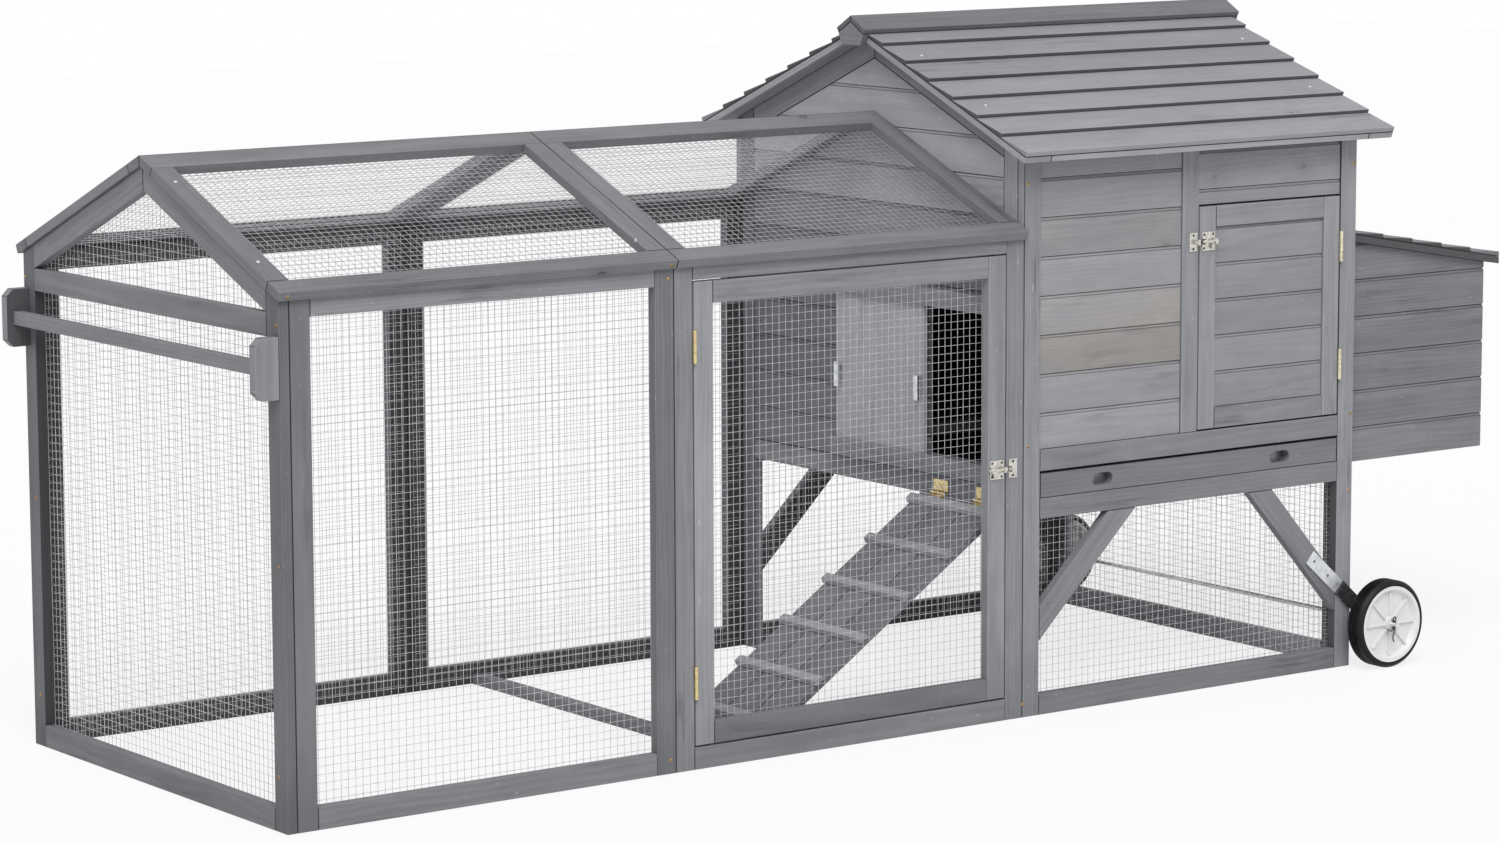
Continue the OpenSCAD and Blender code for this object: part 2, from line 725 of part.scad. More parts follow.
module house_gable_frame() {
    x1 = x_house + timber_t;
    color("gray") {
        both_sides() {
            end_post(x_house, x1, house_ridge, stile_in, inner);
            gable_rafter(x_house, x1, house_ridge, stile_in - joint_gap);
        }
        box(x_house, x1, -stile_in + joint_gap, stile_in - joint_gap, wall_bottom, wall_bottom + timber_w);
    }
}
// Outline of the boards inside the posts and rafters of a gable
module gable_field(z0) {
    a = stile_in - joint_gap;
    drop = timber_w / cos(roof_pitch) + joint_gap;
    polygon([[-a, z0], [a, z0], [a, slope_z(house_ridge, a) - drop], [0, house_ridge - drop],
        [-a, slope_z(house_ridge, a) - drop]]);
}
module gable_shiplap(z0) {
    intersection() {
        rotate([0, 0, -90]) translate([-half, 0, 0])
            shiplap(0, width, z0, house_ridge, head_z);
        along_x(0, board_t) gable_field(z0);
    }
}
module house_gable_boards() {
    color("darkgray") translate([x_house, 0, 0]) difference() {
        gable_shiplap(wall_bottom + timber_w + joint_gap);
        box(-cut, board_t + cut, -half, pop_y1, pop_z0, pop_z0 + pop_h);
    }
}
module house_end_frame() {
    x0 = x_end - timber_t;
    a = stile_in - joint_gap;
    color("gray") {
        both_sides() {
            end_post(x0, x_end, house_ridge, stile_in, inner);
            gable_rafter(x0, x_end, house_ridge, a);
        }
        box(x0, x_end, -a, a, 0, timber_w);
        box(x0, x_end, -a, a, tray_rail_z, tray_z + nest_sill_h);
        box(x0, x_end, -a, a, end_rail_z, end_rail_z + 2 * timber_w);
    }
}
module house_end_boards() {
    z0 = end_rail_z + 2 * timber_w + joint_gap;
    color("darkgray") translate([x_end, 0, 0]) mirror([1, 0, 0]) gable_shiplap(z0);
}
module brace(deg, x, side) {
    d1 = brace_in;
    d2 = brace_in + brace_w / sin(deg);
    z = tray_rail_z - joint_gap;
    along_y(0, timber_t) polygon([[x, z - d1 * tan(deg)], [x + side * d1, z], [x + side * d2, z],
        [x, z - d2 * tan(deg)]]);
}
module house_braces() {
    color("gray") both_sides() front_plane() {
        brace(brace_deg, x_house + timber_w + joint_gap, 1);
        brace(wheel_brace_deg, x_end - timber_w - joint_gap, -1);
    }
}
module house_lower_mesh() {
    x0 = x_house + timber_t + net_edge;
    x1 = x_end - timber_t - net_edge;
    top = tray_rail_z + net_edge;
    color("silver") {
        both_sides() side_net(x0, x1, net_edge, top);
        end_net(x_end - timber_t - joint_gap - wire_d, inner - 2 * wire_d - joint_gap, net_edge, top);
    }
}
module tray_runners() {
    z1 = tray_z;
    color("gray") for (x = [x_house + timber_w, x_end - timber_w - runner_w])
        box(x, x + runner_w, -inner, inner, z1 - timber_t, z1);
}
module perch() {
    color("gray") box(x_house + board_t + joint_gap, x_end - timber_t - joint_gap,
        perch_y - timber_w / 2, perch_y + timber_w / 2, perch_z, perch_z + perch_h);
}
module pop_guide(z0, z1, lip) {
    y0 = pop_y0 - pop_lap;
    y1 = pop_y1 + pop_door_w + pop_lap;
    box(x_house - joint_gap - pop_slot, x_house - joint_gap, y0, y1, z0, z1);
    box(x_house - 2 * joint_gap - pop_slot - pop_cover_t, x_house - 2 * joint_gap - pop_slot, y0, y1,
        min(z0, z0 + lip), max(z1, z1 + lip));
}
module pop_door_guides() {
    low = pop_z0 - pop_lap - slide_gap;
    high = pop_z0 + pop_h + pop_lap + slide_gap;
    color("gray") {
        pop_guide(low - pop_guide_h, low, pop_lap);
        pop_guide(high, high + pop_guide_h, -pop_lap);
    }
}

// House roof
module roof_battens() {
    top = roof_batten_t;
    edge = ridge_split / 2;
    color("gray") both_sides() {
        slope_strip(x_house - verge_over, x_house + timber_t, house_ridge, edge, house_a, 0, top);
        slope_strip(x_end - timber_t, x_end + verge_over, house_ridge, edge, house_a, 0, top);
        x0 = x_house + timber_t + joint_gap;
        x1 = x_end - timber_t - joint_gap;
        slope_strip(x0, x1, house_ridge, edge, edge + rail_plan, 0, top);
        slope_strip(x0, x1, house_ridge, house_a - rail_plan - eave_over, house_a, 0, top);
    }
}
module roof_slope_boards() {
    lapped_boards(x_house - verge_over, x_end + verge_over, house_ridge, ridge_split, house_a,
        roof_batten_t + joint_gap, roof_boards);
}
module roof_front_boards() {
    color("slategray") mirror([0, 1, 0]) roof_slope_boards();
}
module roof_back_boards() {
    color("slategray") roof_slope_boards();
}
// Underside of the ridge boards at distance a from the middle
function ridge_under(a) = ridge_seat + (ridge_half - a) * tan(ridge_pitch);
module ridge_boards() {
    rise = board_t / cos(ridge_pitch);
    color("dimgray") both_sides() along_x(x_house - ridge_over, x_end + ridge_over)
        polygon([[joint_gap / 2, ridge_under(0)], [ridge_half, ridge_under(ridge_half)],
            [ridge_half + board_t * sin(ridge_pitch), ridge_under(ridge_half) + board_t * cos(ridge_pitch)],
            [joint_gap / 2, ridge_under(0) + rise]]);
}
module ridge_end_blocks() {
    foot_share = 0.72;
    drop = lap_t + roof_batten_t;
    a = ridge_half;
    block = ridge_over - verge_over - joint_gap;
    color("dimgray") for (x = [x_house - ridge_over, x_end + ridge_over - block])
        along_x(x, x + block) polygon([[0, ridge_under(0) - joint_gap], [a, ridge_under(a) - joint_gap],
            [a * foot_share, ridge_under(a) - drop], [-a * foot_share, ridge_under(a) - drop],
            [-a, ridge_under(a) - joint_gap]]);
}

// Nest box
module nest_field() {
    polygon([[x_end + joint_gap, nest_z], [x_nest, nest_z], [x_nest, lid_line(x_nest)],
        [x_end + joint_gap, lid_line(x_end + joint_gap)]]);
}
module nest_walls() {
    seam = nest_z + nest_first_h;
    color("darkgray") {
        both_sides() intersection() {
            translate([0, -nest_y, 0]) shiplap(x_end + joint_gap, x_nest, nest_z, lid_z, seam);
            along_y(-nest_y, -nest_y + board_t) nest_field();
        }
        a = nest_y - board_t - joint_gap;
        translate([x_nest, 0, 0]) rotate([0, 0, 90])
            shiplap(-a, a, nest_z, lid_line(x_nest) - joint_gap, seam);
        b = a - batten;
        both_sides() for (x = [x_end + joint_gap, x_nest - board_t - joint_gap - batten])
            box(x, x + batten, b, a, nest_z + nest_floor_t + joint_gap, lid_line(x + batten) - joint_gap);
    }
}
module nest_floor() {
    a = nest_y - board_t - joint_gap;
    x1 = x_nest - board_t - joint_gap;
    color("darkgray") box(x_end + joint_gap, x1, -a, a, nest_z, nest_z + nest_floor_t);
}
function lid_plumb(x, n) = [x, lid_line(x) + n / cos(lid_pitch)];
module nest_lid() {
    x0 = lid_x0;
    a = nest_y + lid_side;
    seat = joint_gap;
    n0 = lid_seat;
    step = lid_step;
    color("slategray") {
        both_sides() along_y(a - timber_w, a) polygon([lid_plumb(x0, seat), lid_plumb(x_lid, seat),
            lid_plumb(x_lid, seat + lid_batten_t), lid_plumb(x0, seat + lid_batten_t)]);
        for (k = [0 : lid_boards - 1])
            along_y(-a, a) polygon([lid_plumb(x0 + k * step + joint_gap * min(k, 1), n0),
                lid_plumb(x0 + (k + 1) * step, n0), lid_plumb(x0 + (k + 1) * step, n0 + lap_t - joint_gap),
                lid_plumb(x0 + k * step + joint_gap * min(k, 1), n0 + lap_thin_t)]);
    }
}

// Wheels
module wheel_straps() {
    color("lightgray") both_sides() strap_place() difference() {
        box(0, strap_len, joint_gap, joint_gap + strap_t, -strap_w / 2, strap_w / 2);
        for (s = screw_shares) translate([s * strap_len, -cut, 0]) rotate([-90, 0, 0])
            cylinder(h = strap_t + 3 * cut, d = screw_d);
        translate([strap_len - arm_lap / 2, -cut, 0]) rotate([-90, 0, 0])
            cylinder(h = strap_t + 3 * cut, d = bolt_d);
    }
}
module axle_arms() {
    y0 = 2 * joint_gap + strap_t;
    color("black") both_sides() strap_place() difference() {
        union() {
            box(strap_len - arm_lap, arm_full, y0, y0 + strap_t, -strap_w / 2, strap_w / 2);
            translate([arm_full, y0, 0]) rotate([-90, 0, 0]) cylinder(h = strap_t, d = strap_w);
            translate([strap_len - arm_lap / 2, joint_gap, 0]) rotate([-90, 0, 0])
                cylinder(h = y0 + 2 * strap_t, d = bolt_d - 2 * joint_gap);
        }
        translate([arm_full, 0, 0]) rotate([-90, 0, 0])
            cylinder(h = y0 + strap_t + cut, d = axle_d + 2 * run_fit);
    }
}
module axle() {
    color("silver") difference() {
        translate([axle_x, -axle_half, axle_z]) rotate([-90, 0, 0]) cylinder(h = 2 * axle_half, d = axle_d);
        both_sides() translate([axle_x, axle_half - axle_tip - split_d / 2, axle_z - axle_d])
            cylinder(h = 2 * axle_d, d = split_d + 2 * run_fit);
    }
}
module axle_washers() {
    y0 = hub_out + slide_gap;
    color("silver") both_sides() translate([axle_x, y0, axle_z]) rotate([-90, 0, 0]) difference() {
        cylinder(h = washer_t, r = washer_r);
        translate([0, 0, -cut]) cylinder(h = washer_t + 2 * cut, d = axle_d + 2 * run_fit);
    }
}
module axle_pins() {
    y0 = axle_half - axle_tip - split_d / 2;
    color("dimgray") both_sides() translate([axle_x, y0, axle_z - split_len / 2])
        cylinder(h = split_len, d = split_d);
}
// Far wheel, its inner face towards the panel
module tyre() {
    y0 = half + wheel_out;
    r0 = hub_d / 2 + joint_gap;
    r1 = wheel_d / 2;
    color("black") translate([axle_x, 0, axle_z]) rotate([-90, 0, 0]) rotate_extrude() difference() {
        polygon([[r0, y0], [r1 - tyre_round, y0], [r1, y0 + tyre_round], [r1, y0 + wheel_w - tyre_round],
            [r1 - tyre_round, y0 + wheel_w], [r0, y0 + wheel_w]]);
        for (s = groove_shares) translate([r1 - groove_d, y0 + tyre_round + s * tread_w - groove_w / 2])
            square([groove_d + cut, groove_w]);
    }
}
module hub() {
    y0 = half + wheel_out;
    y1 = y0 + wheel_w;
    r = hub_d / 2;
    bore = axle_d / 2 + run_fit;
    web_y = y1 - hub_dish - hub_web;
    color("white") translate([axle_x, 0, axle_z]) rotate([-90, 0, 0]) {
        rotate_extrude() polygon([[bore, hub_in], [boss_r, hub_in], [boss_r, web_y], [r - hub_lip, web_y],
            [r - hub_lip, y0], [r, y0], [r, y1], [r - hub_lip, y1], [r - 2 * hub_lip, web_y + hub_web],
            [boss_r, web_y + hub_web], [boss_r, hub_out], [bore, hub_out]]);
        for (i = [0 : rib_n - 1]) rotate([0, 0, i * 360 / rib_n])
            box(boss_r - cut, r - 2 * hub_lip + cut, -rib_t / 2, rib_t / 2, web_y + hub_web - cut,
                y1 - hub_dish / 2);
    }
}
module near_tyre() {
    mirror([0, 1, 0]) tyre();
}
module far_tyre() {
    tyre();
}
module near_hub() {
    mirror([0, 1, 0]) hub();
}
module far_hub() {
    hub();
}

// Hinges and latches
module hinge_leaves_fixed() {
    color("gold") {
        for (z = run_hinge_z) front_hinge(rd_x0 - door_gap / 2, z, 0) hinge_fixed();
        for (z = house_hinge_z) front_hinge(hd_x1 + door_gap / 2, z, 1) hinge_fixed();
        for (s = [-1, 1]) lid_hinge(s * nest_hinge_share * nest_y) flap_fixed();
        for (s = ramp_hinge_shares) translate([ramp_pin_x, ramp_y + s * ramp_w, ramp_pin_z]) flap_fixed();
    }
}
module latch_keepers() {
    color("lightgray") {
        run_latch() latch_keeper();
        house_latch() latch_keeper();
    }
}
module run_door_frame() {
    color("gray") front_plane() panel(rd_x0, rd_x1, rd_z0, rd_z1, timber_w, timber_w);
}
module run_door_mesh() {
    color("silver") side_net(rd_x0 + net_edge, rd_x1 - net_edge, rd_z0 + net_edge, rd_z1 - net_edge);
}
module run_door_hinges() {
    color("gold") for (z = run_hinge_z) front_hinge(rd_x0 - door_gap / 2, z, 0) hinge_moving();
}
module run_latch_plate() {
    color("lightgray") run_latch() latch_plate();
}
module run_latch_bolt() {
    color("white") run_latch() latch_bolt();
}
module house_door_frame() {
    color("gray") front_plane() panel(hd_x0, hd_x1, hd_z0, hd_z0 + house_door_h, timber_w, timber_w);
}
module house_door_boards() {
    n = 5;
    x0 = hd_x0 + timber_w + joint_gap;
    x1 = hd_x1 - timber_w - joint_gap;
    z0 = hd_z0 + timber_w + joint_gap;
    field = house_door_h - 2 * timber_w - 2 * joint_gap;
    color("darkgray") front_plane() translate([0, board_setback, 0]) for (k = [0 : n - 1]) {
        low = z0 + k * field / n;
        top = z0 + (k + 1) * field / n - joint_gap * (k < n - 1 ? 1 : 0);
        along_x(x0, x1) polygon([[0, low], [board_t, low], [board_t, top], [board_t / 3, top],
            [0, top - board_bevel]]);
    }
}
module house_door_hinges() {
    color("gold") for (z = house_hinge_z) front_hinge(hd_x1 + door_gap / 2, z, 1) hinge_moving();
}
module house_latch_plate() {
    color("lightgray") house_latch() latch_plate();
}
module house_latch_bolt() {
    color("white") house_latch() latch_bolt();
}

// Tray
module tray_front() {
    h = tray_bay_h - tray_top_gap;
    z0 = tray_z + slide_gap;
    zm = z0 + h / 2;
    color("gray") difference() {
        box(tray_x0, tray_x1, -half, -half + timber_t, z0, z0 + h);
        for (s = slot_shares) {
            xm = tray_x0 + s * (tray_x1 - tray_x0);
            reach = (slot_len - slot_h) / 2;
            for (e = [-reach, reach]) translate([xm + e, -half - cut, zm]) rotate([-90, 0, 0])
                cylinder(h = timber_t + 2 * cut, d = slot_h);
            box(xm - reach, xm + reach, -half - cut, -half + timber_t + cut, zm - slot_h / 2,
                zm + slot_h / 2);
        }
    }
}
module tray_pan() {
    y0 = -half + timber_t + joint_gap;
    y1 = inner - door_gap;
    z0 = tray_z + slide_gap;
    color("lightgray") difference() {
        box(tray_x0, tray_x1, y0, y1, z0, z0 + pan_h);
        box(tray_x0 + pan_t, tray_x1 - pan_t, y0 + pan_t, y1 - pan_t, z0 + pan_t, z0 + pan_h + cut);
    }
}

// Pop door and ramp
module pop_door() {
    color("gray") box(pop_door_x - pop_door_t, pop_door_x, pop_y1, pop_y1 + pop_door_w, pop_z0 - pop_lap,
        pop_z0 + pop_h + pop_lap);
}
module pop_door_grips() {
    x1 = pop_door_x - pop_door_t - joint_gap;
    zm = pop_z0 + pop_h * grip_share;
    z1 = grip_h / 2;
    z2 = grip_h / 2 - grip_hole;
    color("silver") for (y = [pop_y1 + grip_w / 2, pop_y1 + pop_door_w - 3 * grip_w / 2])
        translate([x1, y, zm]) difference() {
            box(-grip_reach, 0, 0, grip_w, -z1, z1);
            box(-grip_hole, cut, -cut, grip_w + cut, -z2, z2);
        }
}
module ramp_plank() {
    w = (ramp_w + joint_gap) / ramp_boards_n;
    color("gray") ramp_place() for (k = [0 : ramp_boards_n - 1]) {
        y0 = -ramp_w / 2 + k * w;
        box(-ramp_start - ramp_len, -ramp_start, y0, y0 + w - joint_gap, -knuckle_r - ramp_t, -knuckle_r);
    }
}
module ramp_cleats() {
    color("darkgray") ramp_place() for (k = [0 : cleat_n - 1]) {
        x1 = -ramp_start - cleat_first - k * cleat_pitch;
        z0 = -knuckle_r + joint_gap;
        along_y(-ramp_w / 2 - cleat_over, ramp_w / 2 + cleat_over) polygon([[x1 - cleat_w, z0], [x1, z0],
            [x1 - cleat_h / 3, z0 + cleat_h], [x1 - cleat_w + cleat_h / 3, z0 + cleat_h]]);
    }
}
module ramp_hinges() {
    color("gold") for (s = ramp_hinge_shares) ramp_place() translate([0, s * ramp_w, 0]) flap_moving();
}
module nest_lid_hinges() {
    color("gold") for (s = [-1, 1]) lid_hinge(s * nest_hinge_share * nest_y)
        rotate([0, -lid_top_deg, 0]) flap_moving();
}

run_end_frame();
run_front_panel();
run_door_surround();
run_back_panels();
run_floor_rail();
run_wall_mesh();
run_roof_frames();
run_roof_mesh();
handle_plates();
handle_bar();
house_front_frame();
house_front_boards();
house_back_frame();
house_back_boards();
house_gable_frame();
house_gable_boards();
house_end_frame();
house_end_boards();
house_braces();
house_lower_mesh();
tray_runners();
perch();
pop_door_guides();
roof_battens();
roof_front_boards();
roof_back_boards();
ridge_boards();
ridge_end_blocks();
nest_walls();
nest_floor();
wheel_straps();
axle_arms();
axle();
axle_washers();
axle_pins();
hinge_leaves_fixed();
latch_keepers();
run_door_frame();
run_door_mesh();
run_door_hinges();
run_latch_plate();
run_latch_bolt();
house_door_frame();
house_door_boards();
house_door_hinges();
house_latch_plate();
house_latch_bolt();
tray_front();
tray_pan();
pop_door();
pop_door_grips();
ramp_plank();
ramp_cleats();
ramp_hinges();
nest_lid();
nest_lid_hinges();
near_tyre();
near_hub();
far_tyre();
far_hub();
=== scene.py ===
# %% [markdown]
# # A chicken tractor, dressed piece by piece
# The part is a movable coop: a mesh run with a gabled top, a raised house, a nest box and two
# wheels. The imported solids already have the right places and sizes, so this lesson only adds what
# solids lack: eased timber edges, grain that follows each board, real welded wire and fixings.

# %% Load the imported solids
import math
import random
import bmesh
import bpy
from mathutils import Matrix, Vector
from mathutils.bvhtree import BVHTree
from mathutils.geometry import intersect_point_line


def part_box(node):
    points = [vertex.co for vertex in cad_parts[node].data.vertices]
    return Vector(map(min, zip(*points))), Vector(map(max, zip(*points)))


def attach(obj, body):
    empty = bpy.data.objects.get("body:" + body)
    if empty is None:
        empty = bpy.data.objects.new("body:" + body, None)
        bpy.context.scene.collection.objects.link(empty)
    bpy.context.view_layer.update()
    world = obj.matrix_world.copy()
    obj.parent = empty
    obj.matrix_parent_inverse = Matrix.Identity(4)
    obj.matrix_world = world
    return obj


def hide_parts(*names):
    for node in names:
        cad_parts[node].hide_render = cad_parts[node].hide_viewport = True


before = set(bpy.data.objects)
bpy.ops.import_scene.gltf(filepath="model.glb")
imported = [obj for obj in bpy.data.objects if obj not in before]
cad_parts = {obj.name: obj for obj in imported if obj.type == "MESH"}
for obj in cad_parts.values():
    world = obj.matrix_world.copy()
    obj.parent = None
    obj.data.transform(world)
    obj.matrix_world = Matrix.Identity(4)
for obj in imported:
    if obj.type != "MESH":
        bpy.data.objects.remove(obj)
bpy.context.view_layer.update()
X, Y, Z = Vector((1, 0, 0)), Vector((0, 1, 0)), Vector((0, 0, 1))

# %% [markdown]
# ## Stage, light and camera
# The coop stands on a plain pale floor before white. In a studio a big soft lamp stands high at the
# front left, so the roof is the brightest face and the gable and the long side are lit about alike.
# One wide sun lamp and an even world give the same order of tones at a plain level.

# %% White backdrop
scene = bpy.context.scene
scene.view_settings.view_transform = "Standard"
world = bpy.data.worlds.new("white_studio")
scene.world = world
world.use_nodes = True
WORLD_LIGHT = 0.47


def seen_directly(tree):
    """Mask of the rays that show a surface itself: from the camera, a reflection or glass."""
    path = tree.nodes.new("ShaderNodeLightPath")
    mask = path.outputs["Is Camera Ray"]
    for kind in ("Is Glossy Ray", "Is Transmission Ray"):
        either = tree.nodes.new("ShaderNodeMath")
        either.operation = "MAXIMUM"
        tree.links.new(mask, either.inputs[0])
        tree.links.new(path.outputs[kind], either.inputs[1])
        mask = either.outputs[0]
    return mask


sky_tree = world.node_tree
sky = sky_tree.nodes["Background"]
sky.inputs["Color"].default_value = (1, 1, 1, 1)
level = sky_tree.nodes.new("ShaderNodeMapRange")
level.inputs["To Min"].default_value = WORLD_LIGHT
level.inputs["To Max"].default_value = 1.0
sky_tree.links.new(seen_directly(sky_tree), level.inputs["Value"])
sky_tree.links.new(level.outputs["Result"], sky.inputs["Strength"])
print("world light", WORLD_LIGHT)

# %% Key lamp
SUN_TOWARDS = Vector((-0.30, -0.46, 0.62))
SUN_ENERGY, SUN_SPREAD = 2.2, math.radians(40)
lamp = bpy.data.lights.new("key_lamp", "SUN")
lamp.energy = SUN_ENERGY
lamp.angle = SUN_SPREAD
key = bpy.data.objects.new("key_lamp", lamp)
key.rotation_euler = SUN_TOWARDS.to_track_quat("Z", "Y").to_euler()
scene.collection.objects.link(key)
print("key lamp", SUN_ENERGY)

# %% [markdown]
# The floor is a pale sweep. A plain diffuse floor alone would go grey under the coop, and the
# picture's ground is clean white, so part of what the camera sees of it is plain white. The rest
# is lit like any surface, and that keeps the coop's soft shadow.

# %% Floor
FLOOR_HALF, FLOOR_DROP = 14.0, 0.0004
bm = bmesh.new()
bmesh.ops.create_grid(bm, x_segments=1, y_segments=1, size=FLOOR_HALF)
floor_mesh = bpy.data.meshes.new("studio_floor")
bm.to_mesh(floor_mesh)
bm.free()
floor = bpy.data.objects.new("studio_floor", floor_mesh)
floor.location = (0, 0, -FLOOR_DROP)
scene.collection.objects.link(floor)
print("floor", FLOOR_HALF * 2, "m wide")

# %% Floor paint
FLOOR_TONE, FLOOR_ROUGH, FLOOR_SHEEN, SWEEP_SHARE = 0.92, 0.9, 0.1, 0.8
floor_paint = bpy.data.materials.new("pale_floor")
floor_paint.use_nodes = True
floor_tree = floor_paint.node_tree
floor_bsdf = floor_tree.nodes["Principled BSDF"]
floor_bsdf.inputs["Base Color"].default_value = (FLOOR_TONE, FLOOR_TONE, FLOOR_TONE, 1)
floor_bsdf.inputs["Roughness"].default_value = FLOOR_ROUGH
floor_bsdf.inputs["Specular IOR Level"].default_value = FLOOR_SHEEN
sweep = floor_tree.nodes.new("ShaderNodeEmission")
share = floor_tree.nodes.new("ShaderNodeMath")
share.operation = "MULTIPLY"
share.inputs[1].default_value = SWEEP_SHARE
both = floor_tree.nodes.new("ShaderNodeMixShader")
floor_tree.links.new(seen_directly(floor_tree), share.inputs[0])
floor_tree.links.new(share.outputs[0], both.inputs[0])
floor_tree.links.new(floor_bsdf.outputs[0], both.inputs[1])
floor_tree.links.new(sweep.outputs[0], both.inputs[2])
floor_tree.links.new(both.outputs[0], floor_tree.nodes["Material Output"].inputs["Surface"])
floor_mesh.materials.append(floor_paint)
print("plain white share of the floor", SWEEP_SHARE)

# %% [markdown]
# The camera was fitted to the photograph's straight edges. A long lens stands about 7 m from the
# front left corner and 0.45 m above the ridge, so the long sides hardly converge.

# %% Camera
CAM_AT = Vector((-4.5859, -6.1893, 1.5808))
CAM_AZIMUTH, CAM_ELEVATION, CAM_ROLL = (math.radians(a) for a in (36.01, -8.28, -0.18))
SENSOR_WIDTH, FOCAL_LENGTH, SEES_TO = 36.0, 111.84, 200
ahead = Vector((math.sin(CAM_AZIMUTH) * math.cos(CAM_ELEVATION),
                math.cos(CAM_AZIMUTH) * math.cos(CAM_ELEVATION), math.sin(CAM_ELEVATION)))
level_right = Vector((math.cos(CAM_AZIMUTH), -math.sin(CAM_AZIMUTH), 0))
level_up = level_right.cross(ahead)
cam_right = math.cos(CAM_ROLL) * level_right + math.sin(CAM_ROLL) * level_up
cam_up = -math.sin(CAM_ROLL) * level_right + math.cos(CAM_ROLL) * level_up
lens = bpy.data.cameras.new("photo_camera")
lens.sensor_fit = "HORIZONTAL"
lens.sensor_width = SENSOR_WIDTH
lens.lens = FOCAL_LENGTH
lens.clip_end = SEES_TO
camera = bpy.data.objects.new("photo_camera", lens)
turn = Matrix((cam_right, cam_up, -ahead)).transposed().to_4x4()
camera.matrix_world = Matrix.Translation(CAM_AT) @ turn
scene.collection.objects.link(camera)
scene.camera = camera
print("camera at", [round(v, 3) for v in CAM_AT])

# %% [markdown]
# ## Grey stained softwood
# Every timber here is planed softwood under a thin grey stain. The stain lets soft streaks, fibres and
# a few knots show, and each board takes it a little differently. Grain has to run along each
# piece, so every member gets its own coordinates, measured along, across and through it from the
# heart of the tree it was sawn from. A shader group turns these into colour, gloss and height, and
# each finish places the group with its own values.

# %% Small helpers for node trees


class Tree:
    """Adds nodes to one tree; a number goes to a socket's value and a socket is linked."""

    def __init__(self, tree):
        self.tree = tree

    def node(self, kind, **settings):
        made = self.tree.nodes.new("ShaderNode" + kind)
        for name, value in settings.items():
            setattr(made, name, value)
        return made

    def set(self, socket, value):
        if isinstance(value, bpy.types.NodeSocket):
            self.tree.links.new(value, socket)
        else:
            socket.default_value = value

    def math(self, operation, a, b=0.0, c=0.0):
        made = self.node("Math", operation=operation)
        for socket, value in zip(made.inputs, (a, b, c)):
            self.set(socket, value)
        return made.outputs[0]

    def about(self, value, middle, depth, total):
        """total + (value - middle) * depth"""
        return self.math("MULTIPLY_ADD", self.math("SUBTRACT", value, middle), depth, total)

    def stretch(self, vector, scale):
        made = self.node("VectorMath", operation="MULTIPLY")
        self.set(made.inputs[0], vector)
        made.inputs[1].default_value = scale
        return made.outputs[0]

    def times(self, colour, factor):
        made = self.node("VectorMath", operation="SCALE")
        self.set(made.inputs[0], colour)
        self.set(made.inputs["Scale"], factor)
        return made.outputs[0]

    def noise(self, vector, scale, detail=2.0, rough=0.5):
        made = self.node("TexNoise")
        self.set(made.inputs["Vector"], self.stretch(vector, scale))
        made.inputs["Scale"].default_value = 1.0
        made.inputs["Detail"].default_value = detail
        made.inputs["Roughness"].default_value = rough
        return made.outputs["Fac"]

    def ramp(self, value, low, high):
        made = self.node("MapRange", interpolation_type="SMOOTHSTEP")
        self.set(made.inputs["Value"], value)
        made.inputs["From Min"].default_value = low
        made.inputs["From Max"].default_value = high
        return made.outputs["Result"]

    def mix(self, factor, a, b):
        """A colour between a and b; the colour sockets of this node are number 6 and 7, and 2 comes out."""
        made = self.node("Mix", data_type="RGBA")
        self.set(made.inputs["Factor"], factor)
        self.set(made.inputs[6], a)
        self.set(made.inputs[7], b)
        return made.outputs[2]


print("tree helper ready")

# %% Groups and materials
FLOAT, COLOR = "NodeSocketFloat", "NodeSocketColor"


def new_group(name, inputs):
    """Empty shader group with named inputs that puts out a colour, a roughness and a height."""
    group = bpy.data.node_groups.new(name, "ShaderNodeTree")
    for label, kind, value in inputs:
        group.interface.new_socket(label, in_out="INPUT", socket_type=kind).default_value = value
    for label, kind in (("Color", COLOR), ("Roughness", FLOAT), ("Height", FLOAT)):
        group.interface.new_socket(label, in_out="OUTPUT", socket_type=kind)
    start = group.nodes.new("NodeGroupInput")
    end = group.nodes.new("NodeGroupOutput")
    return group, Tree(group), start.outputs, end.inputs


def new_material(name):
    """A new material, its tree and the inputs of its shader."""
    material = bpy.data.materials.new(name)
    material.use_nodes = True
    return material, Tree(material.node_tree), material.node_tree.nodes["Principled BSDF"].inputs


def place_group(tree, group, values):
    """A group placed in a tree with its own values."""
    placed = tree.node("Group")
    placed.node_tree = group
    for label, value in values.items():
        placed.inputs[label].default_value = (*value, 1) if isinstance(value, tuple) else value
    return placed.outputs


def grouped(name, group, values, strength, depth):
    """A material whose colour, roughness and relief come from a placed group."""
    material, tree, shade = new_material(name)
    placed = place_group(tree, group, values)
    raised = tree.node("Bump")
    raised.inputs["Strength"].default_value = strength
    raised.inputs["Distance"].default_value = depth
    tree.set(raised.inputs["Height"], placed["Height"])
    tree.set(shade["Base Color"], placed["Color"])
    tree.set(shade["Roughness"], placed["Roughness"])
    tree.set(shade["Normal"], raised.outputs[0])
    return material, tree, shade, placed


print("group helpers ready")
